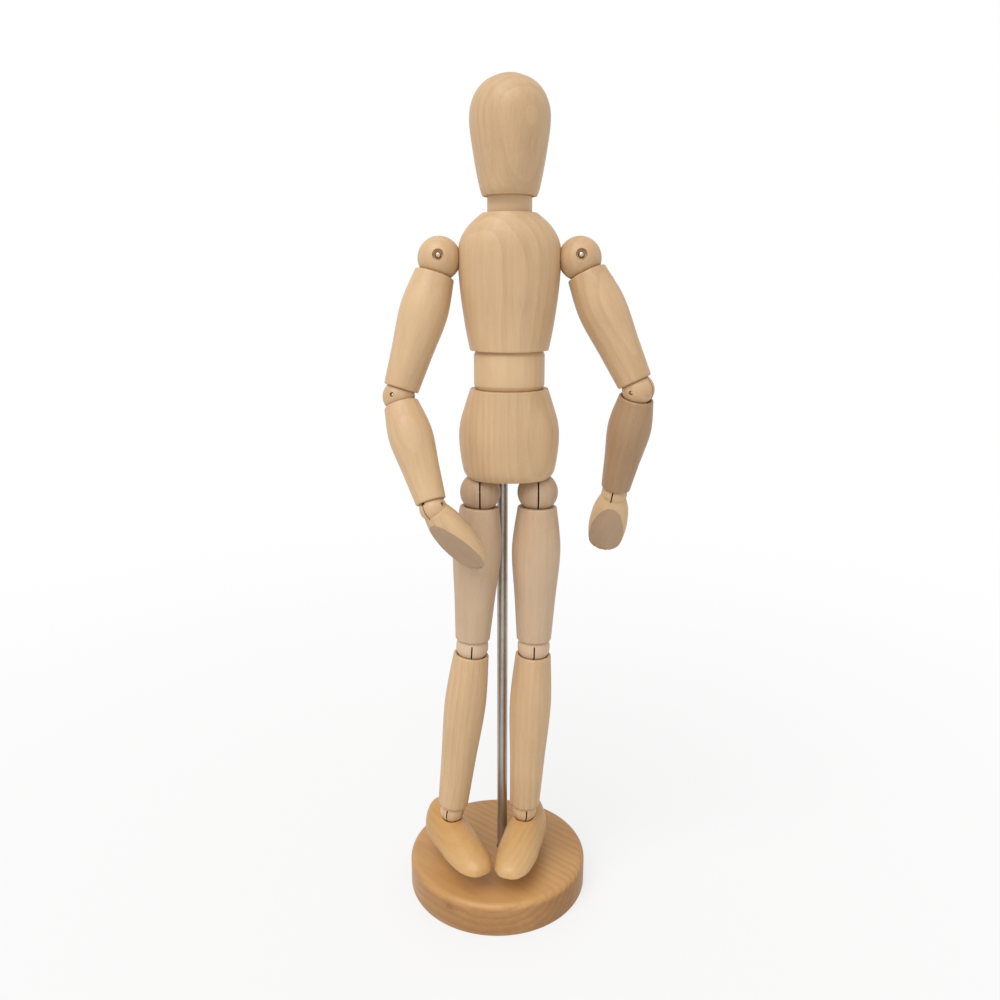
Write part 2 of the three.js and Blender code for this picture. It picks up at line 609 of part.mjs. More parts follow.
// A foot under its ankle ball, an egg form sawn flat at the sole; eyeTurn leads from the foot to its eye
function makeFoot(eyeTurn) {
  const instep = ANKLE_OVER_SOLE - ANKLE_BAND / 2;
  const stations = [
    [-FOOT_HEEL_REACH, FOOT_WIDTH * 0.2, instep * 0.7],
    [-FOOT_HEEL_REACH * 0.9, FOOT_WIDTH * 0.62, instep * 1.9],
    [-FOOT_HEEL_REACH * 0.55, FOOT_WIDTH * 0.9, instep * 2.55],
    [-FOOT_HEEL_REACH * 0.1, FOOT_WIDTH * 0.97, instep * 2.3],
    [FOOT_TOE_REACH * 0.2, FOOT_WIDTH * 0.98, instep * 1.88],
    [FOOT_TOE_REACH * 0.45, FOOT_WIDTH, instep * 1.46],
    [FOOT_TOE_REACH * 0.78, FOOT_WIDTH * 0.84, instep],
    [FOOT_TOE_REACH * 0.95, FOOT_WIDTH * 0.48, instep * 0.6],
    [FOOT_TOE_REACH, FOOT_WIDTH * 0.15, instep * 0.2],
  ];
  const egg = loft(stations, FOOT_RINGS).rotateX(Math.PI / 2).translate(0, 0, -ANKLE_OVER_SOLE);
  const span = 2 * (FOOT_TOE_REACH + FOOT_HEEL_REACH);
  const screwHole = cylinder(
    SCREW_DIAMETER + 2 * CLEARANCE, -FOOT_SCREW_SHANK - FOOT_SCREW_LENGTH - CLEARANCE, 0, PIN_SIDES,
  );
  return cut(
    egg,
    box(span, span, -span, -ANKLE_OVER_SOLE),
    ball(ANKLE_BALL_DIAMETER / 2 + CLEARANCE),
    screwHole.applyQuaternion(eyeTurn),
  );
}

// Arm, from the shoulder ball down; the pins lie along Y
function buildArm(chest, side) {
  const sign = SIDES[side];
  const pose = POSE[side];
  const pinAngle = Math.PI / 2;
  const elbowAngle = rad(sign * pose.elbowTurn);
  const wristAngle = rad(sign * pose.wristTurn);

  const swing = groupAt(chest, `${side}_shoulder_swing`, sign * shoulderX(), 0, shoulderZ());
  swing.rotation.x = -rad(pose.armSwing);
  swing.add(piece(`${side}_shoulder_ball`, makeShoulderBall().rotateZ(pinAngle), 'wood'));
  swing.add(piece(`${side}_shoulder_pin`, makeShoulderPin().rotateZ(pinAngle), 'steel'));

  const upperArm = groupAt(swing, `${side}_shoulder_lift`);
  upperArm.rotation.y = -sign * rad(pose.armLift);
  upperArm.add(piece(`${side}_upper_arm`, limb({
    length: UPPER_ARM_LENGTH, topGap: UPPER_ARM_TOP_GAP, bottomGap: ELBOW_BAND / 2,
    topDiameter: UPPER_ARM_TOP_DIAMETER, bulgeDiameter: UPPER_ARM_BULGE_DIAMETER,
    endDiameter: UPPER_ARM_END_DIAMETER,
    topBall: SHOULDER_BALL_DIAMETER, endBall: ELBOW_BALL_DIAMETER, bore: ARM_BORE_DIAMETER,
  }), 'wood'));
  upperArm.add(piece(`${side}_upper_arm_spring`, tensionSpring({
    length: UPPER_ARM_LENGTH, turns: ARM_SPRING_TURNS, boreDiameter: ARM_BORE_DIAMETER,
    startAngle: pinAngle, endAngle: pinAngle + elbowAngle,
    startPin: SHOULDER_PIN_DIAMETER, endPin: PIN_DIAMETER,
    startReach: ballReach(SHOULDER_BALL_DIAMETER), endReach: ballReach(ELBOW_BALL_DIAMETER),
  }), 'spring'));

  const elbow = groupAt(upperArm, `${side}_elbow_turn`, 0, 0, -UPPER_ARM_LENGTH);
  elbow.rotation.z = elbowAngle;
  const elbowBall = slottedBall(ELBOW_BALL_DIAMETER, PIN_DIAMETER).rotateZ(pinAngle);
  elbow.add(piece(`${side}_elbow_ball`, elbowBall, 'wood'));
  elbow.add(piece(`${side}_elbow_pin`, ballPin(ELBOW_BALL_DIAMETER).rotateZ(pinAngle), 'steel'));

  const forearm = groupAt(elbow, `${side}_elbow_bend`);
  forearm.rotation.y = sign * rad(pose.elbowBend);
  forearm.add(piece(`${side}_forearm`, limb({
    length: FOREARM_LENGTH, topGap: ELBOW_BAND / 2, bottomGap: WRIST_BAND / 2,
    topDiameter: FOREARM_TOP_DIAMETER, bulgeDiameter: FOREARM_BULGE_DIAMETER,
    endDiameter: FOREARM_END_DIAMETER,
    topBall: ELBOW_BALL_DIAMETER, endBall: WRIST_BALL_DIAMETER, bore: ARM_BORE_DIAMETER,
  }), 'wood'));
  forearm.add(piece(`${side}_forearm_spring`, tensionSpring({
    length: FOREARM_LENGTH, turns: ARM_SPRING_TURNS, boreDiameter: ARM_BORE_DIAMETER,
    startAngle: pinAngle, endAngle: pinAngle + wristAngle,
    startPin: PIN_DIAMETER, endPin: PIN_DIAMETER,
    startReach: ballReach(ELBOW_BALL_DIAMETER), endReach: ballReach(WRIST_BALL_DIAMETER),
  }), 'spring'));

  const wrist = groupAt(forearm, `${side}_wrist_turn`, 0, 0, -FOREARM_LENGTH);
  wrist.rotation.z = wristAngle;
  wrist.add(piece(`${side}_wrist_pin`, ballPin(WRIST_BALL_DIAMETER).rotateZ(pinAngle), 'steel'));
  const hand = groupAt(wrist, `${side}_wrist_bend`);
  hand.rotation.y = sign * rad(pose.wristBend);
  hand.add(piece(`${side}_hand`, makeHand(sign), 'wood'));
}

// Leg, from the hip ball down; the pins lie along X
function buildLeg(pelvis, side) {
  const sign = SIDES[side];
  const pose = POSE[side];
  const kneeAngle = rad(sign * -pose.kneeTurn);
  const ankleAngle = rad(sign * -pose.ankleTurn);

  const hip = groupAt(pelvis, `${side}_hip_turn`, (sign * HIP_SPACING) / 2, 0, -HIP_BELOW_PELVIS);
  hip.rotation.z = rad(sign * -pose.hipTurn);
  hip.add(piece(`${side}_hip_ball`, slottedBall(HIP_BALL_DIAMETER, PIN_DIAMETER, { blind: true }), 'wood'));
  hip.add(piece(`${side}_hip_pin`, ballPin(HIP_BALL_DIAMETER), 'steel'));
  hip.add(piece(`${side}_hip_eye`, screwEye(HIP_SCREW_SHANK, HIP_SCREW_LENGTH, 1, -1), 'steel'));

  const hipSwing = groupAt(hip, `${side}_hip_swing`);
  hipSwing.rotation.x = -rad(pose.hipSwing);
  const thigh = groupAt(hipSwing, `${side}_thigh_seat`);
  thigh.rotation.y = -sign * rad(pose.thighSplay);
  thigh.add(piece(`${side}_thigh`, limb({
    length: THIGH_LENGTH, topGap: THIGH_TOP_GAP, bottomGap: KNEE_BAND / 2,
    topDiameter: THIGH_TOP_DIAMETER, bulgeDiameter: THIGH_BULGE_DIAMETER, endDiameter: THIGH_END_DIAMETER,
    topBall: HIP_BALL_DIAMETER, endBall: KNEE_BALL_DIAMETER, bore: LEG_BORE_DIAMETER,
  }), 'wood'));
  thigh.add(piece(`${side}_thigh_spring`, tensionSpring({
    length: THIGH_LENGTH, turns: LEG_SPRING_TURNS, boreDiameter: LEG_BORE_DIAMETER,
    startAngle: 0, endAngle: kneeAngle, startPin: PIN_DIAMETER, endPin: PIN_DIAMETER,
    startReach: ballReach(HIP_BALL_DIAMETER), endReach: ballReach(KNEE_BALL_DIAMETER),
  }), 'spring'));

  const knee = groupAt(thigh, `${side}_knee_turn`, 0, 0, -THIGH_LENGTH);
  knee.rotation.z = kneeAngle;
  knee.add(piece(`${side}_knee_ball`, slottedBall(KNEE_BALL_DIAMETER, PIN_DIAMETER), 'wood'));
  knee.add(piece(`${side}_knee_pin`, ballPin(KNEE_BALL_DIAMETER), 'steel'));

  const kneeBend = groupAt(knee, `${side}_knee_bend`);
  kneeBend.rotation.x = rad(pose.kneeBend);
  const shin = groupAt(kneeBend, `${side}_shin_seat`);
  shin.rotation.y = -sign * rad(pose.shinSplay);
  shin.add(piece(`${side}_shin`, limb({
    length: SHIN_LENGTH, topGap: KNEE_BAND / 2, bottomGap: ANKLE_BAND / 2,
    topDiameter: SHIN_TOP_DIAMETER, bulgeDiameter: SHIN_BULGE_DIAMETER, endDiameter: SHIN_END_DIAMETER,
    topBall: KNEE_BALL_DIAMETER, endBall: ANKLE_BALL_DIAMETER, bore: LEG_BORE_DIAMETER,
  }), 'wood'));
  shin.add(piece(`${side}_shin_spring`, tensionSpring({
    length: SHIN_LENGTH, turns: LEG_SPRING_TURNS, boreDiameter: LEG_BORE_DIAMETER,
    startAngle: 0, endAngle: ankleAngle, startPin: PIN_DIAMETER, endPin: PIN_DIAMETER,
    startReach: ballReach(KNEE_BALL_DIAMETER), endReach: ballReach(ANKLE_BALL_DIAMETER),
  }), 'spring'));

  const ankle = groupAt(shin, `${side}_ankle_turn`, 0, 0, -SHIN_LENGTH);
  ankle.rotation.z = ankleAngle;
  ankle.add(piece(`${side}_ankle_ball`, slottedBall(ANKLE_BALL_DIAMETER, PIN_DIAMETER), 'wood'));
  ankle.add(piece(`${side}_ankle_pin`, ballPin(ANKLE_BALL_DIAMETER), 'steel'));

  // The sole lies level, with the toes turned in
  const ankleBend = groupAt(ankle, `${side}_ankle_bend`);
  ankleBend.add(piece(`${side}_foot_eye`, screwEye(FOOT_SCREW_SHANK, FOOT_SCREW_LENGTH, -1, 1), 'steel'));
  const level = groupAt(ankleBend, `${side}_foot_seat`);
  const tilt = ankle.getWorldQuaternion(new THREE.Quaternion()).invert();
  const yaw = new THREE.Quaternion().setFromAxisAngle(Z_AXIS, -sign * rad(pose.toesInward));
  level.quaternion.copy(tilt.multiply(yaw));
  level.add(piece(`${side}_foot`, makeFoot(level.quaternion.clone().invert()), 'footWood'));
  return ankle.getWorldPosition(new THREE.Vector3()).z - ANKLE_OVER_SOLE;
}

const mannequin = new THREE.Group();
mannequin.add(piece('base', makeBase(), 'baseWood'));

const figureX = ROD_BESIDE_MIDDLE + FIGURE_BESIDE_ROD;
const figureY = ROD_BEHIND_MIDDLE - FIGURE_BEFORE_ROD;
const pelvis = groupAt(mannequin, 'figure_swivel', figureX, figureY, 0);
pelvis.add(piece('pelvis', makePelvis(), 'wood'));
const soles = Object.keys(SIDES).map((side) => buildLeg(pelvis, side));
pelvis.position.z = BASE_THICKNESS + SOLES_OVER_BASE - Math.min(...soles);

const rodBottom = BASE_THICKNESS - ROD_DEPTH_IN_BASE + CLEARANCE;
const rodTop = pelvis.position.z + ROD_DEPTH_IN_PELVIS - CLEARANCE;
const rod = piece('support_rod', makeRod(rodBottom, rodTop), 'steel');
rod.position.set(ROD_BESIDE_MIDDLE, ROD_BEHIND_MIDDLE, 0);
mannequin.add(rod);

// Waist, chest, neck and head stack on the pelvis
const waist = groupAt(pelvis, 'waist_bend', 0, 0, PELVIS_HEIGHT + WAIST_BAND / 2);
waist.add(piece('waist', bandedBall(WAIST_BALL_DIAMETER, WAIST_DIAMETER), 'wood'));
const chest = groupAt(waist, 'waist_twist', 0, 0, WAIST_BAND / 2);
chest.add(piece('chest', makeChest(), 'wood'));
const neck = groupAt(chest, 'neck_nod', 0, 0, CHEST_HEIGHT + NECK_BAND / 2);
neck.add(piece('neck', bandedBall(NECK_BALL_DIAMETER, NECK_DIAMETER), 'wood'));
const head = groupAt(neck, 'head_turn', 0, 0, NECK_BAND / 2);
head.add(piece('head', makeHead(), 'wood'));

// Anchor pins and the springs between them
function addAnchor(parent, name, height) {
  const pin = piece(name, anchorPin(), 'steel');
  pin.position.z = height;
  parent.add(pin);
}

addAnchor(pelvis, 'pelvis_pin', PELVIS_HEIGHT - PELVIS_PIN_BELOW_RIM);
addAnchor(chest, 'chest_waist_pin', CHEST_WAIST_PIN_ABOVE_RIM);
addAnchor(chest, 'chest_neck_pin', CHEST_HEIGHT - CHEST_NECK_PIN_BELOW_TOP);
addAnchor(head, 'head_pin', HEAD_PIN_ABOVE_RIM);

function addTrunkSpring(name, parent, top, length, turns) {
  const reach = eyeRadius(ANCHOR_PIN_DIAMETER) + EYE_LEAD;
  const coil = piece(name, tensionSpring({
    length, turns, boreDiameter: TRUNK_BORE_DIAMETER,
    startAngle: Math.PI / 2, endAngle: Math.PI / 2,
    startPin: ANCHOR_PIN_DIAMETER, endPin: ANCHOR_PIN_DIAMETER,
    startReach: reach, endReach: reach,
  }), 'spring');
  coil.position.z = top;
  parent.add(coil);
}

const waistSpringLength = PELVIS_PIN_BELOW_RIM + WAIST_BAND + CHEST_WAIST_PIN_ABOVE_RIM;
addTrunkSpring('waist_spring', chest, CHEST_WAIST_PIN_ABOVE_RIM, waistSpringLength, WAIST_SPRING_TURNS);
const neckSpringLength = CHEST_NECK_PIN_BELOW_TOP + NECK_BAND + HEAD_PIN_ABOVE_RIM;
addTrunkSpring('neck_spring', head, HEAD_PIN_ABOVE_RIM, neckSpringLength, NECK_SPRING_TURNS);

const crossSpring = groupAt(chest, 'shoulder_spring_seat', shoulderX(), 0, shoulderZ());
crossSpring.rotation.y = Math.PI / 2;
crossSpring.add(piece('shoulder_spring', tensionSpring({
  length: 2 * shoulderX(), turns: SHOULDER_SPRING_TURNS, boreDiameter: ARM_BORE_DIAMETER,
  startAngle: -Math.PI / 2, endAngle: Math.PI / 2,
  startPin: SHOULDER_PIN_DIAMETER, endPin: SHOULDER_PIN_DIAMETER,
  startReach: ballReach(SHOULDER_BALL_DIAMETER), endReach: ballReach(SHOULDER_BALL_DIAMETER),
}), 'spring'));

for (const side of Object.keys(SIDES)) buildArm(chest, side);

export default mannequin;
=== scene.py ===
"""Looks of a jointed wooden drawing figure on a round stand.

Sizes are in millimetres, as on the maker's drawing, and angles in degrees. The joints of the frame say
where each piece hangs.
"""
import json
import math
import random

import bpy
from mathutils import Matrix, Vector


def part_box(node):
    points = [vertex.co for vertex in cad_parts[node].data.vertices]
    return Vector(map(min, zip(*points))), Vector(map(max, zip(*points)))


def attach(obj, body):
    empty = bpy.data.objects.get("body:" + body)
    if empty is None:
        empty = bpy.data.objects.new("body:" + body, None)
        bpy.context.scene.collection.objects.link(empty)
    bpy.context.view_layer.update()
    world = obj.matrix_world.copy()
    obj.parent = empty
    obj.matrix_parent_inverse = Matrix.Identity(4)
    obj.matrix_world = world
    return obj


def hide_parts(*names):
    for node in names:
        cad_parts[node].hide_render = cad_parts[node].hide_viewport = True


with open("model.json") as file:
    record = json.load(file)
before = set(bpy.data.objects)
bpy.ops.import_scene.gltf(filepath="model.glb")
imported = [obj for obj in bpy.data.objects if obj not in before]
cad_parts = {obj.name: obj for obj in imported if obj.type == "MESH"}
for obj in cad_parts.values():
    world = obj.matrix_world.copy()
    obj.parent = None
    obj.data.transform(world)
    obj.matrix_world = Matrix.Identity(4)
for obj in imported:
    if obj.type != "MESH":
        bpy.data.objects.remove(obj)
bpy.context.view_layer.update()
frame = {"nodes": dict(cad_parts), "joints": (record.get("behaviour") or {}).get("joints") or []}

MM = 0.001
JOINTS = {joint["name"]: joint for joint in frame["joints"]}
SIDES = {"left": 1, "right": -1}

# Stand
BASE_DIAMETER = 70
BASE_THICKNESS = 13
BASE_EDGE = 2.6
BASE_CHAMFER = 0.8
ROD_DIAMETER = 4
ROD_CHAMFER = 0.5
ROD_SOCKET = 8
ROD_DEPTH_IN_PELVIS = 14

# Extra rings of the stand, as shares of its chamfer, its thickness or its radius
CHAMFER_BEND = 0.3
WALL_RING = 0.4
UNDERSIDE_RING = 0.5
TOP_RINGS = (0.6, 0.3)

# Trunk and head
PELVIS_WIDTH = 35
PELVIS_DEPTH = 27
PELVIS_HEIGHT = 31.5
PELVIS_RIM = 27
PELVIS_UNDERSIDE = 28.5
HIP_BELOW_PELVIS = 5.4
HIP_SPACING = 20.5
WAIST_DIAMETER = 24.4
WAIST_BALL = 26.4
WAIST_BAND = 13.2
CHEST_WIDTH = 34.2
CHEST_DEPTH = 27
CHEST_HEIGHT = 44.6
CHEST_RIM = 27
CHEST_TOP = 18.5
NECK_DIAMETER = 14.9
NECK_BALL = 15.8
NECK_BAND = 5.2
HEAD_WIDTH = 26.4
HEAD_DEPTH = 29
HEAD_HEIGHT = 37.2
HEAD_RIM = 18
CHIN_FORWARD = 1.5

# Balls, and the bands of them that show
SHOULDER_BALL = 14.6
ELBOW_BALL = 11
WRIST_BALL = 9.2
HIP_BALL = 14.5
KNEE_BALL = 12
ANKLE_BALL = 9.5
ELBOW_BAND = 5.6
WRIST_BAND = 4.4
KNEE_BAND = 6
ANKLE_BAND = 5.8

ARM_BORE = 4.8
LEG_BORE = 6

# Limbs: top gap, end gap, top, bulge and end diameters, the balls above and below, and the bore
LIMBS = {
    "upper_arm": (5.3, ELBOW_BAND / 2, 13.6, 16.4, 12, SHOULDER_BALL, ELBOW_BALL, ARM_BORE),
    "forearm": (ELBOW_BAND / 2, WRIST_BAND / 2, 12, 15, 10.4, ELBOW_BALL, WRIST_BALL, ARM_BORE),
    "thigh": (5.2, KNEE_BAND / 2, 14.2, 17.6, 12.8, HIP_BALL, KNEE_BALL, LEG_BORE),
    "shin": (KNEE_BAND / 2, ANKLE_BAND / 2, 13.2, 15.6, 11.6, KNEE_BALL, ANKLE_BALL, LEG_BORE),
}

# The joints at a limb's top and end, and the limb's own axis that lies along the pin at its top
LIMB_ENDS = {
    "upper_arm": ("shoulder_lift", "elbow_turn", "Y"),
    "forearm": ("elbow_bend", "wrist_turn", "Y"),
    "thigh": ("hip_swing", "knee_turn", "X"),
    "shin": ("knee_bend", "ankle_turn", "X"),
}

# The joints a ball turns on and bends on, and the joint above it; the hip's ball points straight up
BALL_JOINTS = {
    "elbow": ("elbow_turn", "elbow_bend", "shoulder_lift"),
    "hip": ("hip_turn", "hip_swing", None),
    "knee": ("knee_turn", "knee_bend", "hip_swing"),
    "ankle": ("ankle_turn", "ankle_bend", "knee_bend"),
}

# Where along a limb its widest ring and its taper lie, and how wide the taper is, as shares
BULGE_AT = 0.32
TAPER_AT = 0.68
TAPER_WIDTH = 0.45

# Hands and feet
HAND_LENGTH = 27
HAND_WIDTH = 13.8
HAND_THICKNESS = 11
PALM_FROM_AXIS = 0.1
PALM_SLOPE = 12
PALM_TURN = 9
WRIST_BEND = {"left": 9.1, "right": 30.6}
FOOT_TOE = 25
FOOT_HEEL = 16
FOOT_WIDTH = 15.7
ANKLE_OVER_SOLE = 13.5
TOES_INWARD = {"left": 16, "right": 30}
TIP_REACH = 3
TIP_GAP = 0.5
HAND_SORTED_FROM = (5, 153, 172)

# Rings of the carved blocks: shares of the height, the width and the depth
PELVIS_RINGS = ((0.1, 0.925, 0.93), (0.4, 1, 1), (0.62, 0.98, 1), (0.85, 0.86, 0.99))
PELVIS_UNDERSIDE_DEPTH = 0.8
CHEST_RINGS = ((0.2, 0.89, 0.98), (0.5, 0.99, 1), (0.76, 1, 0.95), (0.9, 0.83, 0.84))
CHEST_RIM_DEPTH = 0.98
HEAD_RINGS = (
    (0.07, 0.75, 0.74), (0.3, 0.88, 0.88), (0.62, 1, 1), (0.8, 0.91, 0.92), (0.92, 0.66, 0.67),
    (0.985, 0.3, 0.3), (1, 0.06, 0.06),
)
HAND_RINGS = (
    (1, 0.08, 0.08), (0.965, 0.48, 0.5), (0.84, 0.84, 0.88), (0.58, 1, 1), (0.34, 0.96, 1),
    (0.2, 0.86, 0.97),
)
WRIST_RING = (-0.3, 0.97, 0.97)
HEEL_RINGS = ((1, 0.2, 0.7), (0.9, 0.62, 1.9), (0.55, 0.9, 2.55), (0.1, 0.97, 2.3))
TOE_RINGS = (
    (0.2, 0.98, 1.88), (0.45, 1, 1.46), (0.78, 0.84, 1), (0.95, 0.5, 0.62), (0.99, 0.24, 0.3),
    (1, 0.02, 0.03),
)

# Joint hardware
CLEARANCE = 0.35
PIN_DIAMETER = 1.2
SHOULDER_PIN = 1.8
PIN_SINK = 0.5
PIN_DOME_SHARE = 0.5
RECESS_DIAMETER = 3.8
RECESS_DEPTH = 1.8
SLOT_WIDTHS = {"shoulder": 0.8, "elbow": 0.6, "wrist": 0.5, "hip": 0.55, "knee": 0.5, "ankle": 0.55}
SEEN_SLOT_TOPS = {"hip": 4.8}
BLIND_SLOTS = ("hip",)
SLOT_OVER_PIN = 1.73
SHOULDER_SLOT_OVER_PIN = 2.03
POCKET_WIDTH = 1.6
POCKET_SHARE = 0.66
SMALL_POCKET_SHARES = {"elbow": 0.48}
HOOK_HOLE = 2.8
TRUNK_BORE = 6.4
PELVIS_PIN_BELOW_RIM = 13
CHEST_PIN_ABOVE_RIM = 13
CHEST_PIN_BELOW_TOP = 7
HEAD_PIN_ABOVE_RIM = 11
ANCHOR_HOLE = 1.95
FOOT_SCREW_HOLE = 2.7
FOOT_SCREW_END = 11
CUT_OVERRUN = 1

# Rounded rims of the limbs, and sanded edges: their width and the bend from which an edge is sharp
EDGE_ROUND = 0.7
RIM_ROUND_SHARE = 0.75
SANDED = {
    "stand": (0.3, 50), "rod": (0.15, 30), "pelvis": (0.5, 40), "chest": (0.5, 40), "head": (0.45, 40),
    "band": (0.3, 12), "shoulder": (0.14, 40), "ball": (0.12, 40), "limb": (0.22, 50),
    "palm": (0.35, 40), "foot": (0.4, 40),
}
SANDED_STEPS = 3
SMOOTH_BEND = 45

# How finely the pieces are drawn
TURNED_SIDES = 64
STAND_SIDES = 96
ROD_SIDES = 40
PIN_SIDES = 24
OVAL_SIDES = 56
RING_STEPS = 6
CHEST_RING_STEPS = 7
CUP_STEPS = 9
BAND_STEPS = 14
STAND_EDGE_ANGLES = range(90, -1, -10)
RIM_ANGLES = (0, 22, 45, 68, 90)
DOME_ANGLES_RAD = (0, 0.5, 1.0, math.pi / 2)

# Marks of the wood: how fine they are across, across and along the grain
SWAY_SCALE = (0.05, 0.05, 0.012)
PATCH_SCALE = (0.03, 0.03, 0.01)
FIBRE_SCALE = (3.2, 3.2, 0.09)
STREAK_SCALE = (0.55, 0.55, 0.02)
FLECK_SCALE = (5.5, 5.5, 0.8)
CLOUD_SCALE = (0.045, 0.045, 0.03)
WAVER_SCALE = (0.16, 0.16, 0.07)
PORE_SCALE = 4.5
SWAY_REACH = 5.0

# Where each mark begins and where it is full, in its noise or in a growth ring
LATE_WOOD = (0.25, 0.93)
RING_END = (0.95, 1.0)
PATCH_RANGE = (0.3, 0.7)
FLECK_RANGE = (0.66, 0.74)
PORE_RANGE = (0.58, 0.7)
ROSY_RANGE = (0.35, 0.75)
BROWN_RANGE = (-0.45, 0.9)

# How much each mark darkens the wood
PATCH_SHARE = 0.65
FIBRE_SHARE = 0.42
STREAK_SHARE = 0.4
CLOUD_SHARE = 0.55
ROSY_SHARE = 0.55
END_SHARE = 0.2
PORE_SHARE = 0.25

# How much each mark lifts the surface or makes it rougher; a bump's strength and its height
FIBRE_LIFT = 0.6
LATE_SINK = 0.25
FLECK_SINK = 0.5
FIBRE_BUMP = (0.28, 0.05)
WAVER_BUMP = (0.35, 0.5)
FIBRE_ROUGHNESS = 0.16
END_ROUGHNESS = 0.14
FLECK_ROUGHNESS = 0.08

# Saw cuts, steel and paper: how fine their marks are and how strongly they show
CUT_NOISE = 900.0
CUT_ROUGHNESS = 0.75
BURN_ROUGHNESS = 0.2
CUT_BUMP = (0.3, 0.06)
TARNISH_NOISE = 260.0
TARNISH_RANGE = (0.4, 0.9)
TARNISH_SHARE = 0.5
TARNISH_ROUGHNESS = 0.12
DRAWN_SHARE = 0.3
DRAWN_ROUGHNESS = 0.18
DRAWN_BUMP = (0.12, 0.02)
PAPER_NOISE = 1200.0
PAPER_ROUGHNESS = 0.9
PAPER_BUMP = (0.05, 0.05)

# The knot in the stand's side: its place, and its radii where it fades
KNOT_AT = (-18.0, -30.0, 9.2)
KNOT_CORE = (0.7, 1.5)
KNOT_HALO = (1.6, 5.0)
KNOT_RAGGED = 1.2
KNOT_NOISE = 700.0
KNOT_RINGS = 1.1
CORE_SHARE = 0.9
HALO_SHARE = 0.3

# How the blanks were sawn from the tree: the pith's distance and the grain's start are drawn by chance
GRAIN_SEED = 12
PITH_DISTANCE = (26, 48)
GRAIN_START = (0, 400)
END_GRAIN_FROM = 0.72
STAND_GRAIN_TURN = 40
STAND_PITH = 140

# Tones of the wooden pieces: paler below 0 and browner above it. Some entries are painted light and shade,
# as noted at them.
TONES_AND_PAINTED_LIGHT = {
    # The neck and the waist are painted paler: painted light that lifts the shade under the head and the
    # chest.
    "pelvis": 0.02, "waist": -0.25, "chest": 0.0, "neck": -0.5, "head": 0.1,
    # The left upper arm is painted browner: painted shade on the arm away from the light.
    "left_forearm": 0.02, "right_forearm": -0.02, "left_upper_arm": 0.14, "right_upper_arm": -0.05,
    "left_thigh": 0.04, "right_thigh": 0.04, "left_shin": 0.14, "right_shin": 0.1,
    # The hip balls are painted browner: painted shade under the pelvis.
    "left_hand": 0.0, "right_hand": -0.04, "left_hip_ball": 0.32, "right_hip_ball": 0.38,
    # The knee balls are painted paler: painted light that lifts their shade.
    "left_knee_ball": -0.34, "right_knee_ball": -0.4,
}
BALL_TONE = 0.02
STAND_TOP_TONE = 0.06
# Painted shade on the stand's rim, and painted light on the front of its top.
STAND_RIM_SHADE = 0.18
STAND_FRONT_LIGHT = -0.5
HEEL_TONE = 0.42
TOE_TONE = -0.3

# Camera that fits the photograph
LENS_MM = 30.96
SENSOR_MM = 36
CAMERA_PLACE = (1.0, -306, 235)
CAMERA_PITCH = 14

# Light: an even sky and a broad window at the upper left. The paper is measured in metres
SKY_LEVEL = 0.6
WINDOW_LEVEL = 1.85
WINDOW_SPREAD = 45
WINDOW_FROM = (-0.55, -1.0, 1.6)
PAPER_SIZE = 12
PAPER_GLOW = 0.7
PAPER_FADE = (0.08, 0.6)


# Materials
class Field:
    """A socket of a finish. Arithmetic on it adds Math nodes."""

    def __init__(self, finish, socket):
        self.finish = finish
        self.socket = socket

    def math(self, operation, *values):
        return self.finish.node("ShaderNodeMath", {"operation": operation}, values)

    def __add__(self, other):
        return self.math("ADD", self, other)

    __radd__ = __add__

    def __sub__(self, other):
        return self.math("SUBTRACT", self, other)

    def __rsub__(self, other):
        return self.math("SUBTRACT", other, self)

    def __mul__(self, other):
        return self.math("MULTIPLY", self, other)

    __rmul__ = __mul__

    def __truediv__(self, other):
        return self.math("DIVIDE", self, other)

    def fraction(self):
        return self.math("FRACT", self)

    def root(self):
        return self.math("SQRT", self)

    def swing(self):
        """A noise, moved so that it swings about 0."""
        return self - 0.5

    def rise(self, low, high):
        """0 below low, 1 above high, and smooth between."""
        settings = {"interpolation_type": "SMOOTHSTEP"}
        sockets = {"Value": self, "From Min": low, "From Max": high}
        return self.finish.node("ShaderNodeMapRange", settings, sockets)

    def part(self, name):
        """Another output of the same node."""
        return Field(self.finish, self.socket.node.outputs[name])


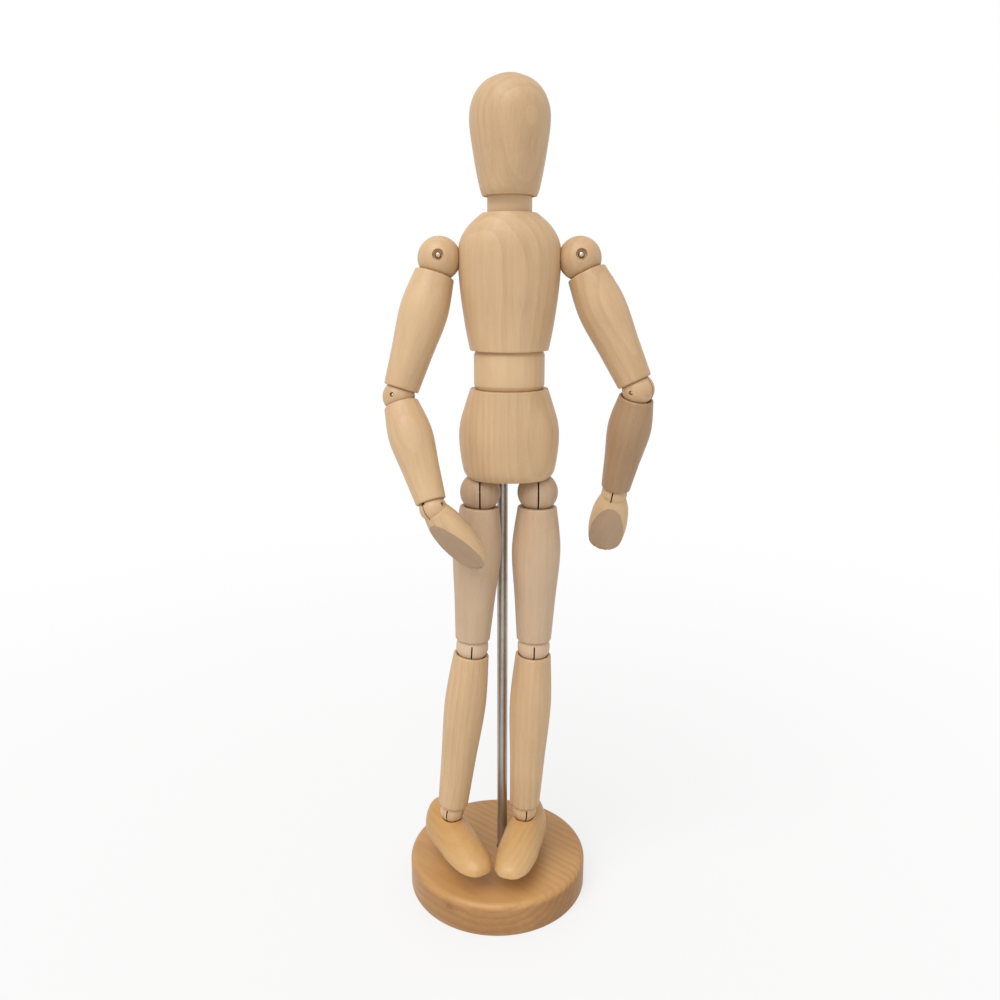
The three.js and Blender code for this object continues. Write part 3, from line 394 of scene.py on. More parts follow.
class Finish:
    """A material that is built by calls to node."""

    def __init__(self, name):
        self.material = bpy.data.materials.new(name)
        self.material.use_nodes = True
        self.tree = self.material.node_tree
        self.surface = self.tree.nodes["Principled BSDF"]

    def node(self, kind, settings, sockets=(), output=0):
        made = self.tree.nodes.new(kind)
        for key, value in settings.items():
            setattr(made, key, value)
        places = sockets.items() if isinstance(sockets, dict) else enumerate(sockets)
        for place, value in places:
            self.plug(made.inputs[place], value)
        return Field(self, made.outputs[output])

    def plug(self, socket, value):
        if isinstance(value, Field):
            self.tree.links.new(value.socket, socket)
        else:
            socket.default_value = value

    def painted(self, name, output="Fac"):
        """What place() has written on the piece's points."""
        return self.node("ShaderNodeAttribute", {"attribute_name": name}, output=output)

    def object_spot(self):
        return self.node("ShaderNodeTexCoord", {}, output="Object")

    def mix(self, share, first, second):
        settings = {"data_type": "RGBA"}
        return self.node("ShaderNodeMix", settings, {0: share, 6: first, 7: second}, 2)

    def noise(self, vector, scale, detail=2.0, roughness=0.5, output=0):
        sockets = {"Vector": vector, "Scale": scale, "Detail": detail, "Roughness": roughness}
        return self.node("ShaderNodeTexNoise", {}, sockets, output)

    def stretched_noise(self, vector, scales, detail, roughness=0.5, output=0):
        stretched = self.node("ShaderNodeMapping", {}, {"Vector": vector, "Scale": scales})
        return self.noise(stretched, 1.0, detail, roughness, output)

    def bump(self, height, strength, distance_mm, over=None):
        sockets = {"Height": height, "Strength": strength, "Distance": distance_mm * MM}
        if over is not None:
            sockets["Normal"] = over
        return self.node("ShaderNodeBump", {}, sockets)

    def set(self, **sockets):
        for name, value in sockets.items():
            self.plug(self.surface.inputs[name.replace("_", " ")], value)
        return self.material


def wood_finish(name, pale, brown, rosy, ring_width, ring_share, fleck_share, roughness, knot=None):
    """Turned wood: growth rings about a pith outside the blank, fibres, flecks and darker end grain, with a
    painted shift per point that holds painted light and shade on some pieces.
    """
    wood = Finish(name)
    grain = wood.painted("grain", "Vector")
    tone_and_shade = wood.painted("tone_and_shade")
    ends = wood.painted("ends")

    sway = wood.stretched_noise(grain, SWAY_SCALE, detail=2.0, output="Color")
    shift = wood.node("ShaderNodeVectorMath", {"operation": "SCALE"}, {0: sway, "Scale": SWAY_REACH})
    bent = wood.node("ShaderNodeVectorMath", {"operation": "ADD"}, (grain, shift))
    split = wood.node("ShaderNodeSeparateXYZ", {}, (bent,))
    across = split.part("X")
    depth = split.part("Y")
    radius = (across * across + depth * depth).root()
    ring = (radius / ring_width).fraction()
    late = ring.rise(*LATE_WOOD) * (1 - ring.rise(*RING_END))

    patch = wood.stretched_noise(grain, PATCH_SCALE, detail=1.0).rise(*PATCH_RANGE)
    fibre = wood.stretched_noise(bent, FIBRE_SCALE, detail=4.0, roughness=0.6)
    streak = wood.stretched_noise(bent, STREAK_SCALE, detail=3.0, roughness=0.55)
    fleck = wood.stretched_noise(grain, FLECK_SCALE, detail=1.0).rise(*FLECK_RANGE)
    cloud = wood.stretched_noise(grain, CLOUD_SCALE, detail=2.0)
    waver = wood.stretched_noise(grain, WAVER_SCALE, detail=1.0)
    pore = wood.noise(grain, PORE_SCALE, detail=1.0).rise(*PORE_RANGE)

    figure = late * ring_share * (1 - PATCH_SHARE + patch * PATCH_SHARE)
    figure = figure + fibre.swing() * FIBRE_SHARE + streak.swing() * STREAK_SHARE
    figure = figure + cloud.swing() * CLOUD_SHARE + fleck * fleck_share
    # The painted shift per point adds painted light and shade on some pieces.
    figure = figure + tone_and_shade + ends * (END_SHARE + pore * PORE_SHARE)
    if knot:
        figure = figure + knot_mark(wood, knot)
    share = figure.rise(*BROWN_RANGE)
    plain = wood.mix(share, pale, brown)
    colour = wood.mix(cloud.rise(*ROSY_RANGE) * ROSY_SHARE, plain, wood.mix(share, rosy, brown))

    height = fibre * FIBRE_LIFT - late * LATE_SINK - fleck * FLECK_SINK
    relief = wood.bump(height, *FIBRE_BUMP, over=wood.bump(waver, *WAVER_BUMP))
    rough = roughness + fibre.swing() * FIBRE_ROUGHNESS + ends * END_ROUGHNESS + fleck * FLECK_ROUGHNESS
    wood.set(Base_Color=colour, Roughness=rough, Normal=relief)
    return wood.set(Specular_IOR_Level=0.42, Coat_Weight=0.06, Coat_Roughness=0.32)


def knot_mark(wood, centre_mm):
    """A pin knot: a dark core in a paler, ringed halo, in object space."""
    spot = wood.object_spot()
    centre = tuple(c * MM for c in centre_mm)
    away = wood.node("ShaderNodeVectorMath", {"operation": "DISTANCE"}, (spot, centre), "Value") / MM
    ragged = away + wood.noise(spot, KNOT_NOISE).swing() * KNOT_RAGGED
    core = 1 - ragged.rise(*KNOT_CORE)
    halo = (1 - ragged.rise(*KNOT_HALO)) * (ragged * KNOT_RINGS).fraction()
    return core * CORE_SHARE + halo * HALO_SHARE


def saw_cut_finish(name, scorched, dusty):
    """The walls of a saw cut or a drilled hole."""
    cut = Finish(name)
    burn = cut.noise(cut.object_spot(), CUT_NOISE, detail=3.0)
    rough = CUT_ROUGHNESS + burn.swing() * BURN_ROUGHNESS
    relief = cut.bump(burn, *CUT_BUMP)
    return cut.set(Base_Color=cut.mix(burn, scorched, dusty), Roughness=rough, Normal=relief)


def steel_finish(name, bright, dull, roughness, along):
    """Drawn steel with fine marks along one direction and a little tarnish."""
    steel = Finish(name)
    spot = steel.object_spot()
    drawn = steel.stretched_noise(spot, along, detail=3.0, roughness=0.6)
    tarnish = steel.noise(spot, TARNISH_NOISE, detail=3.0).rise(*TARNISH_RANGE)
    colour = steel.mix(tarnish * TARNISH_SHARE + drawn.swing() * DRAWN_SHARE, bright, dull)
    rough = roughness + drawn.swing() * DRAWN_ROUGHNESS + tarnish * TARNISH_ROUGHNESS
    relief = steel.bump(drawn, *DRAWN_BUMP)
    return steel.set(Base_Color=colour, Roughness=rough, Normal=relief, Metallic=1.0)


BODY_WOOD = wood_finish(
    "pale_turned_wood",
    pale=(0.70, 0.478, 0.268, 1), brown=(0.425, 0.255, 0.125, 1), rosy=(0.66, 0.445, 0.262, 1),
    ring_width=2.4, ring_share=0.15, fleck_share=0.16, roughness=0.48,
)
FOOT_WOOD = wood_finish(
    "golden_foot_wood",
    pale=(0.62, 0.385, 0.172, 1), brown=(0.45, 0.215, 0.04, 1), rosy=(0.58, 0.3, 0.085, 1),
    ring_width=2.2, ring_share=0.14, fleck_share=0.14, roughness=0.42,
)
STAND_WOOD = wood_finish(
    "honey_stand_wood",
    pale=(0.57, 0.315, 0.115, 1), brown=(0.30, 0.135, 0.04, 1), rosy=(0.53, 0.27, 0.09, 1),
    ring_width=3.0, ring_share=0.24, fleck_share=0.18, roughness=0.44, knot=KNOT_AT,
)
LEG_WOOD = wood_finish(
    "rosy_leg_wood",
    pale=(0.64, 0.462, 0.305, 1), brown=(0.40, 0.255, 0.148, 1), rosy=(0.635, 0.43, 0.27, 1),
    ring_width=2.8, ring_share=0.13, fleck_share=0.16, roughness=0.5,
)
# A darker, browner copy of the wood for the left forearm: partly its own browner wood, partly painted shade
# on the arm away from the light.
BROWN_AND_SHADED_WOOD = wood_finish(
    "brown_shaded_forearm_wood",
    pale=(0.46, 0.288, 0.158, 1), brown=(0.27, 0.153, 0.072, 1), rosy=(0.43, 0.263, 0.143, 1),
    ring_width=2.4, ring_share=0.16, fleck_share=0.18, roughness=0.48,
)
# A darker, greyer wood for the sawn palms: partly the sawn face's own colour, partly painted shade on palms
# that face down.
SAWN_AND_SHADED_PALM_WOOD = wood_finish(
    "sawn_shaded_palm_wood",
    pale=(0.50, 0.345, 0.215, 1), brown=(0.32, 0.2, 0.115, 1), rosy=(0.475, 0.32, 0.205, 1),
    ring_width=1.8, ring_share=0.12, fleck_share=0.2, roughness=0.6,
)
SAW_CUT = saw_cut_finish(
    "scorched_saw_cut", scorched=(0.42, 0.25, 0.14, 1), dusty=(0.62, 0.40, 0.24, 1),
)
ROD_STEEL = steel_finish(
    "drawn_rod_steel", bright=(0.5, 0.47, 0.42, 1), dull=(0.32, 0.29, 0.25, 1),
    roughness=0.42, along=(2600, 2600, 60),
)
PIN_STEEL = steel_finish(
    "warm_pin_steel", bright=(0.62, 0.52, 0.38, 1), dull=(0.34, 0.26, 0.17, 1),
    roughness=0.3, along=(1800, 1800, 1800),
)
SPRING_STEEL = steel_finish(
    "oiled_spring_wire", bright=(0.36, 0.35, 0.33, 1), dull=(0.18, 0.17, 0.16, 1),
    roughness=0.34, along=(1500, 1500, 1500),
)
LIMB_WOODS = {"left_thigh": LEG_WOOD, "right_thigh": LEG_WOOD, "left_forearm": BROWN_AND_SHADED_WOOD}
BALL_WOODS = {"hip": LEG_WOOD, "knee": LEG_WOOD}


# Drawn lines
def spline(points, steps):
    """Points on a smooth line through the given ones, with so many steps between each two."""
    padded = [points[0], *points, points[-1]]
    line = []
    for before, start, end, after in zip(padded, padded[1:], padded[2:], padded[3:]):
        for step in range(steps):
            t = step / steps
            line.append(tuple(
                0.5 * (2 * b + (c - a) * t + (2 * a - 5 * b + 4 * c - d) * t ** 2
                       + (3 * b - a - 3 * c + d) * t ** 3)
                for a, b, c, d in zip(before, start, end, after)
            ))
    return [*line, tuple(points[-1])]


def arc(centre, radius, start, end, steps):
    """Points (radius, height) on an arc about a point of the lathe's axis, at angles from level."""
    angles = [math.radians(start + (end - start) * step / steps) for step in range(steps + 1)]
    return [(radius * math.cos(a), centre + radius * math.sin(a)) for a in angles]


def rings(shares, height, width, depth):
    """Rings (height, width, depth) of a carved block, from shares of its sizes."""
    return [(height * h, width * w, depth * d) for h, w, d in shares]


# Tools of the workshop
def active(obj):
    """Selects one object alone, for the next operators."""
    bpy.ops.object.select_all(action="DESELECT")
    obj.select_set(True)
    bpy.context.view_layer.objects.active = obj
    return obj


def new_blank(name, finish):
    """Names the object that has just been added and gives it a finish."""
    blank = bpy.context.object
    blank.name = name
    blank.data.name = name
    blank.data.materials.append(finish)
    return active(blank)


def turn(name, profile, finish, sides=TURNED_SIDES):
    """A turned piece: the profile (radius, height) is drawn point by point and spun about Z."""
    bpy.ops.mesh.primitive_plane_add(size=MM)
    piece = new_blank(name, finish)
    bpy.ops.object.mode_set(mode="EDIT")
    bpy.ops.mesh.select_all(action="SELECT")
    bpy.ops.mesh.merge(type="CENTER")
    bpy.ops.transform.translate(value=(profile[0][0] * MM, 0, profile[0][1] * MM))
    for (r0, z0), (r1, z1) in zip(profile, profile[1:]):
        move = {"value": ((r1 - r0) * MM, 0, (z1 - z0) * MM)}
        bpy.ops.mesh.extrude_vertices_move(TRANSFORM_OT_translate=move)
    bpy.ops.mesh.select_all(action="SELECT")
    bpy.ops.mesh.spin(steps=sides, angle=2 * math.pi, center=(0, 0, 0), axis=(0, 0, 1))
    bpy.ops.mesh.select_all(action="SELECT")
    bpy.ops.mesh.remove_doubles(threshold=1e-6)
    bpy.ops.mesh.normals_make_consistent(inside=False)
    bpy.ops.object.mode_set(mode="OBJECT")
    return piece


def carve_block(name, stations, finish, forward=0.0):
    """An oval block of rings (height, width, depth), each drawn up from the last; forward leans it to -Y."""
    top = stations[-1][0]
    low = stations[0][0]
    middles = [Vector((0, -forward * (1 - (z - low) / (top - low)), z)) * MM for z, _, _ in stations]
    bpy.ops.mesh.primitive_circle_add(
        vertices=OVAL_SIDES, radius=MM / 2, fill_type="NGON", location=middles[0],
    )
    piece = new_blank(name, finish)
    bpy.ops.object.transform_apply(location=True)
    bpy.ops.object.mode_set(mode="EDIT")
    bpy.ops.mesh.select_all(action="SELECT")
    bpy.ops.transform.resize(value=(stations[0][1], stations[0][2], 1), center_override=middles[0])
    for i in range(1, len(stations)):
        bpy.ops.mesh.extrude_region_move(TRANSFORM_OT_translate={"value": middles[i] - middles[i - 1]})
        ratio = (stations[i][1] / stations[i - 1][1], stations[i][2] / stations[i - 1][2], 1)
        bpy.ops.transform.resize(value=ratio, center_override=middles[i])
    bpy.ops.mesh.select_all(action="SELECT")
    bpy.ops.mesh.normals_make_consistent(inside=False)
    bpy.ops.object.mode_set(mode="OBJECT")
    return piece


def ball_tool(diameter, centre, finish, axis="Z"):
    """A ball whose poles lie on one axis."""
    tilt = {"X": (0, math.pi / 2, 0), "Z": (0, 0, 0)}[axis]
    bpy.ops.mesh.primitive_uv_sphere_add(
        segments=TURNED_SIDES, ring_count=TURNED_SIDES // 2, radius=diameter / 2 * MM,
        location=Vector(centre) * MM, rotation=tilt,
    )
    tool = new_blank("ball_tool", finish)
    bpy.ops.object.transform_apply(location=True, rotation=True)
    return tool


def cup(ball, centre, finish=BODY_WOOD, axis="Z"):
    """The hollow that a ball sits in."""
    return ball_tool(ball + 2 * CLEARANCE, centre, finish, axis)


def drill(diameter, start, end, finish=SAW_CUT):
    """A drill between two points."""
    start = Vector(start)
    way = Vector(end) - start
    bpy.ops.mesh.primitive_cylinder_add(
        vertices=TURNED_SIDES // 2, radius=diameter / 2 * MM, depth=way.length * MM,
        location=(start + way / 2) * MM, rotation=way.to_track_quat("Z", "Y").to_euler(),
    )
    tool = new_blank("drill", finish)
    bpy.ops.object.transform_apply(location=True, rotation=True)
    return tool


def saw(low, high):
    """A block between two corners, which takes out a saw cut."""
    low, high = Vector(low), Vector(high)
    bpy.ops.mesh.primitive_cube_add(size=MM, location=(low + high) / 2 * MM)
    tool = new_blank("saw", SAW_CUT)
    tool.scale = high - low
    bpy.ops.object.transform_apply(location=True, scale=True)
    return tool


def combine(piece, operation, tools):
    """Cuts tools from the piece, or joins them to it; cut walls keep the tool's finish."""
    for tool in tools:
        active(piece)
        change = piece.modifiers.new("shape", "BOOLEAN")
        change.operation = operation
        change.solver = "EXACT"
        change.material_mode = "TRANSFER"
        change.object = tool
        bpy.ops.object.modifier_apply(modifier=change.name)
        bpy.data.objects.remove(tool)
    return piece


def saw_flat(piece, point, facing):
    """Saws off what lies past a plane; the flat face takes the piece's active finish."""
    active(piece)
    bpy.ops.object.mode_set(mode="EDIT")
    bpy.ops.mesh.select_all(action="SELECT")
    bpy.ops.mesh.bisect(plane_co=Vector(point) * MM, plane_no=facing, use_fill=True, clear_outer=True)
    bpy.ops.object.material_slot_assign()
    bpy.ops.object.mode_set(mode="OBJECT")


def gather_tip(piece, tip, sorted_from=None):
    """Gathers the crowded corners at a blank's tip, so that its sawn edge can be sanded.

    A slanting saw cut leaves its new corners in no fixed order, so they can be sorted first.
    """
    active(piece)
    for vertex in piece.data.vertices:
        vertex.select = (vertex.co - Vector(tip) * MM).length < TIP_REACH * MM
    bpy.ops.object.mode_set(mode="EDIT")
    if sorted_from:
        cursor = bpy.context.scene.cursor
        cursor.location = Vector(sorted_from) * MM
        bpy.ops.mesh.sort_elements(type="CURSOR_DISTANCE", elements={"VERT"})
        cursor.location = (0, 0, 0)
    bpy.ops.mesh.remove_doubles(threshold=TIP_GAP * MM)
    bpy.ops.object.mode_set(mode="OBJECT")


def smooth(piece):
    """Shades the piece smooth, apart from its sharp edges."""
    active(piece)
    bpy.ops.object.shade_smooth_by_angle(angle=math.radians(SMOOTH_BEND))
    return piece


def soften(piece, kind):
    """Sands the sharp edges round."""
    width, bend = SANDED[kind]
    active(piece)
    edge = piece.modifiers.new("sanded_edges", "BEVEL")
    edge.width = width * MM
    edge.segments = SANDED_STEPS
    edge.limit_method = "ANGLE"
    edge.angle_limit = math.radians(bend)
    edge.use_clamp_overlap = True
    bpy.ops.object.modifier_apply(modifier=edge.name)
    return smooth(piece)


def copy_of(piece):
    twin = piece.copy()
    twin.data = piece.data.copy()
    bpy.context.scene.collection.objects.link(twin)
    return twin


# Setting pieces in the frame
chance = random.Random(GRAIN_SEED)
GRAIN_TURNS = {
    "X": Matrix.Rotation(math.pi / 2, 3, "Y"),
    "Y": Matrix.Rotation(math.pi / 2, 3, "X"),
    "Z": Matrix.Identity(3),
}


def place(
    piece, node, body, slot, seat=Matrix.Identity(4), tone_and_shade=0.0, along="Z", turned_deg=0.0, pith_deg=None,
):
    """Sets a piece on its seat in the frame. Its grain runs along one of its own axes, turned about Z.

    The tone_and_shade is one number, or a function of a vertex's place in millimetres and of its normal; on
    some pieces it holds painted light and shade.
    """
    mesh = piece.data
    turn_grain = GRAIN_TURNS[along] @ Matrix.Rotation(math.radians(turned_deg), 3, "Z")
    pith = chance.uniform(0, 2 * math.pi) if pith_deg is None else math.radians(pith_deg)
    reach = chance.uniform(*PITH_DISTANCE)
    shift = Vector((reach * math.cos(pith), reach * math.sin(pith), chance.uniform(*GRAIN_START)))
    grain, shade, ends = [], [], []
    for vertex in mesh.vertices:
        grain.extend(turn_grain @ (vertex.co / MM) + shift)
        shade.append(tone_and_shade(vertex.co / MM, vertex.normal) if callable(tone_and_shade) else tone_and_shade)
        facing = abs((turn_grain @ vertex.normal).z)
        ends.append(max(0.0, (facing - END_GRAIN_FROM) / (1 - END_GRAIN_FROM)) ** 2)
    mesh.attributes.new("grain", "FLOAT_VECTOR", "POINT").data.foreach_set("vector", grain)
    mesh.attributes.new("tone_and_shade", "FLOAT", "POINT").data.foreach_set("value", shade)
    mesh.attributes.new("ends", "FLOAT", "POINT").data.foreach_set("value", ends)
    mesh.transform(seat)
    piece.name = node + "_finished"
    mesh.name = piece.name
    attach(piece, body)
    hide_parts(node)
    return piece


def joint_point(name):
    return Vector(JOINTS[name]["pos_m"])


def joint_axis(name):
    return Vector(JOINTS[name]["axis"]).normalized()


def seat_matrix(origin, up, pin, pin_along):
    """A seat at origin whose Z is up and whose X or Y lies along the pin."""
    z = up.normalized()
    pin = (pin - pin.dot(z) * z).normalized()
    if pin_along == "X":
        x, y = pin, z.cross(pin)
    else:
        x, y = pin.cross(z), pin
    turned = Matrix((x, y, z)).transposed()
    return Matrix.Translation(origin) @ turned.to_4x4()


# Stand
def rod_hole(start, end):
    return drill(ROD_DIAMETER + 2 * CLEARANCE, start, end)


def stand_blank(socket_x, socket_y):
    """A turned disc with a rounded top edge and a socket for the rod."""
    half = BASE_DIAMETER / 2
    bend = BASE_CHAMFER * CHAMFER_BEND
    rounded = [
        (half - BASE_EDGE * (1 - math.sin(a)), BASE_THICKNESS - BASE_EDGE * (1 - math.cos(a)))
        for a in map(math.radians, STAND_EDGE_ANGLES)
    ]
    stand = turn("stand", [
        (0, 0),
        (half * UNDERSIDE_RING, 0),
        (half - BASE_CHAMFER, 0),
        (half - bend, bend),
        (half, BASE_CHAMFER),
        (half, BASE_THICKNESS * WALL_RING),
        *rounded,
        *((half * share, BASE_THICKNESS) for share in TOP_RINGS),
        (0, BASE_THICKNESS),
    ], STAND_WOOD, STAND_SIDES)
    bottom = (socket_x, socket_y, BASE_THICKNESS - ROD_SOCKET)
    above = (socket_x, socket_y, BASE_THICKNESS + CUT_OVERRUN)
    return soften(combine(stand, "DIFFERENCE", [rod_hole(bottom, above)]), "stand")


def stand_tone_light_and_shade(spot, normal):
    """The rim is darker than the top, as painted shade, and the top is paler towards its front, as painted
    light over the feet's shadow.
    """
    level = max(0.0, normal.z)
    forward = max(0.0, -2 * spot.y / BASE_DIAMETER)
    return STAND_TOP_TONE + STAND_RIM_SHADE * (1 - level) + STAND_FRONT_LIGHT * forward * level


def rod_blank(length):
    """A straight rod with chamfered ends."""
    radius = ROD_DIAMETER / 2
    rod = turn("rod", [
        (0, 0),
        (radius - ROD_CHAMFER, 0),
        (radius, ROD_CHAMFER),
        (radius, length / 2),
        (radius, length - ROD_CHAMFER),
        (radius - ROD_CHAMFER, length),
        (0, length),
    ], ROD_STEEL, ROD_SIDES)
    return soften(rod, "rod")


# Trunk and head
def anchor_hole(height, depth):
    """A hole for an anchor pin, drilled from the back."""
    return drill(ANCHOR_HOLE, (0, 0, height), (0, depth, height))


def pelvis_block(rod_x, rod_y):
    """The hips: cups for both thighs' balls and the waist, and a hole for the rod."""
    block = carve_block("pelvis_block", spline([
        (0, PELVIS_UNDERSIDE, PELVIS_DEPTH * PELVIS_UNDERSIDE_DEPTH),
        *rings(PELVIS_RINGS, PELVIS_HEIGHT, PELVIS_WIDTH, PELVIS_DEPTH),
        (PELVIS_HEIGHT, PELVIS_RIM, PELVIS_RIM),
    ], RING_STEPS), BODY_WOOD)
    return soften(combine(block, "DIFFERENCE", [
        *(cup(HIP_BALL, (sign * HIP_SPACING / 2, 0, -HIP_BELOW_PELVIS)) for sign in SIDES.values()),
        cup(WAIST_BALL, (0, 0, PELVIS_HEIGHT + WAIST_BAND / 2)),
        rod_hole((rod_x, rod_y, -CUT_OVERRUN), (rod_x, rod_y, ROD_DEPTH_IN_PELVIS)),
        anchor_hole(PELVIS_HEIGHT - PELVIS_PIN_BELOW_RIM, PELVIS_DEPTH),
    ]), "pelvis")


def chest_block(shoulder_x, shoulder_z):
    """The chest: cups for shoulders, waist and neck, and a bore from shoulder to shoulder."""
    block = carve_block("chest_block", spline([
        (0, CHEST_RIM, CHEST_RIM * CHEST_RIM_DEPTH),
        *rings(CHEST_RINGS, CHEST_HEIGHT, CHEST_WIDTH, CHEST_DEPTH),
        (CHEST_HEIGHT, CHEST_TOP, CHEST_TOP),
    ], CHEST_RING_STEPS), BODY_WOOD)
    return soften(combine(block, "DIFFERENCE", [
        anchor_hole(CHEST_PIN_ABOVE_RIM, CHEST_DEPTH),
        anchor_hole(CHEST_HEIGHT - CHEST_PIN_BELOW_TOP, CHEST_DEPTH),
        *(cup(SHOULDER_BALL, (sign * shoulder_x, 0, shoulder_z), axis="X") for sign in SIDES.values()),
        cup(WAIST_BALL, (0, 0, -WAIST_BAND / 2)),
        cup(NECK_BALL, (0, 0, CHEST_HEIGHT + NECK_BAND / 2)),
        drill(ARM_BORE, (-shoulder_x, 0, shoulder_z), (shoulder_x, 0, shoulder_z)),
    ]), "chest")


def head_block():
    """The head: an egg that leans its chin forward, with a cup for the neck."""
    block = carve_block("head_block", spline([
        (0, HEAD_RIM, HEAD_RIM),
        *rings(HEAD_RINGS, HEAD_HEIGHT, HEAD_WIDTH, HEAD_DEPTH),
    ], RING_STEPS), BODY_WOOD, CHIN_FORWARD)
    return soften(combine(block, "DIFFERENCE", [
        cup(NECK_BALL, (0, 0, -NECK_BAND / 2)),
        anchor_hole(HEAD_PIN_ABOVE_RIM, HEAD_DEPTH),
    ]), "head")


def banded_ball(name, ball, band):
    """A ball whose equator is turned down to a band, bored along the trunk."""
    bore = math.degrees(math.acos(TRUNK_BORE / ball))
    rim = math.degrees(math.acos(band / ball))
    under = arc(0, ball / 2, -bore, -rim, BAND_STEPS)
    over = arc(0, ball / 2, rim, bore, BAND_STEPS)
    return soften(turn(name, [*under, (band / 2, 0), *over, under[0]], BODY_WOOD), "band")


# Slotted balls and their pins
def slotted_ball(name, diameter, pin, slot_top):
    """A ball with its pin along X and a saw cut across it, open below, that hides a wider pocket."""
    reach = diameter / 2 + CUT_OVERRUN
    slot = SLOT_WIDTHS[name] / 2
    back = slot_top if name in BLIND_SLOTS else reach
    seen_top = SEEN_SLOT_TOPS.get(name, slot_top)
    pocket = SMALL_POCKET_SHARES.get(name, POCKET_SHARE) * diameter / 2
    half = POCKET_WIDTH / 2
    bead = ball_tool(diameter, (0, 0, 0), BALL_WOODS.get(name, BODY_WOOD))
    return combine(bead, "DIFFERENCE", [
        saw((-slot, -reach, -reach), (slot, back, seen_top)),
        saw((-half, -pocket, -reach), (half, min(back, pocket), slot_top)),
        drill(pin + CLEARANCE, (-reach, 0, 0), (reach, 0, 0)),
    ])


def shoulder_ball():
    """A slotted ball with a recess about each end of its pin."""
    outside = SHOULDER_BALL / 2 + CUT_OVERRUN
    floor = SHOULDER_BALL / 2 - RECESS_DEPTH
    bead = slotted_ball("shoulder", SHOULDER_BALL, SHOULDER_PIN, SHOULDER_SLOT_OVER_PIN)
    recesses = [
        drill(RECESS_DIAMETER, (end * floor, 0, 0), (end * outside, 0, 0), BODY_WOOD)
        for end in SIDES.values()
    ]
    return soften(combine(bead, "DIFFERENCE", recesses), "shoulder")


def hooked_ball(name, diameter):
    """A slotted ball with a hole for the spring's hook above its slot."""
    bead = slotted_ball(name, diameter, PIN_DIAMETER, SLOT_OVER_PIN)
    hole = drill(HOOK_HOLE, (0, 0, SLOT_OVER_PIN - CLEARANCE), (0, 0, diameter / 2 + CUT_OVERRUN))
    return soften(combine(bead, "DIFFERENCE", [hole]), "ball")


def pin_rod(name, diameter, ball):
    """A ball's pin, along X and with domed ends."""
    radius = diameter / 2
    dome = radius * PIN_DOME_SHARE
    straight = ball / 2 - PIN_SINK - dome
    over = [(radius * math.cos(a), straight + dome * math.sin(a)) for a in DOME_ANGLES_RAD]
    under = [(r, -z) for r, z in reversed(over)]
    pin = turn(name, [*under, (radius, 0), *over], PIN_STEEL, PIN_SIDES)
    pin.data.transform(Matrix.Rotation(math.pi / 2, 4, "Y"))
    return smooth(pin)


# Limbs
RIM_ROUND = [(math.sin(math.radians(a)), math.cos(math.radians(a))) for a in RIM_ANGLES]


def limb(name, length, wood):
    """A turned limb hanging from a ball centre at the origin, cupped at both ends and bored through."""
    top_gap, end_gap, top, bulge, end, top_ball, end_ball, bore = LIMBS[name]
    high, low = -top_gap, end_gap - length
    reach = low - high
    upper = top_ball / 2 + CLEARANCE
    lower = end_ball / 2 + CLEARANCE
    upper_bore = math.degrees(math.acos(bore / 2 / upper))
    upper_rim = math.degrees(math.asin(top_gap / upper))
    lower_bore = math.degrees(math.acos(bore / 2 / lower))
    lower_rim = math.degrees(math.asin(end_gap / lower))
    upper_cup = arc(0, upper, -upper_bore, -upper_rim, CUP_STEPS)
    lower_cup = arc(-length, lower, lower_rim, lower_bore, CUP_STEPS)
    top_edge = min(EDGE_ROUND, RIM_ROUND_SHARE * (top / 2 - upper_cup[-1][0]))
    end_edge = min(EDGE_ROUND, RIM_ROUND_SHARE * (end / 2 - lower_cup[0][0]))
    side = spline([
        (top / 2, high - top_edge),
        (bulge / 2, high + reach * BULGE_AT),
        ((end + (bulge - end) * TAPER_WIDTH) / 2, high + reach * TAPER_AT),
        (end / 2, low + end_edge),
    ], CUP_STEPS)
    top_round = [(top / 2 - top_edge * (1 - s), high - top_edge * (1 - c)) for s, c in RIM_ROUND]
    end_round = [(end / 2 - end_edge * (1 - s), low + end_edge * (1 - c)) for s, c in reversed(RIM_ROUND)]
    profile = [*upper_cup, *top_round, *side[1:-1], *end_round, *lower_cup, upper_cup[0]]
    return soften(turn(name + "_blank", profile, wood), "limb")


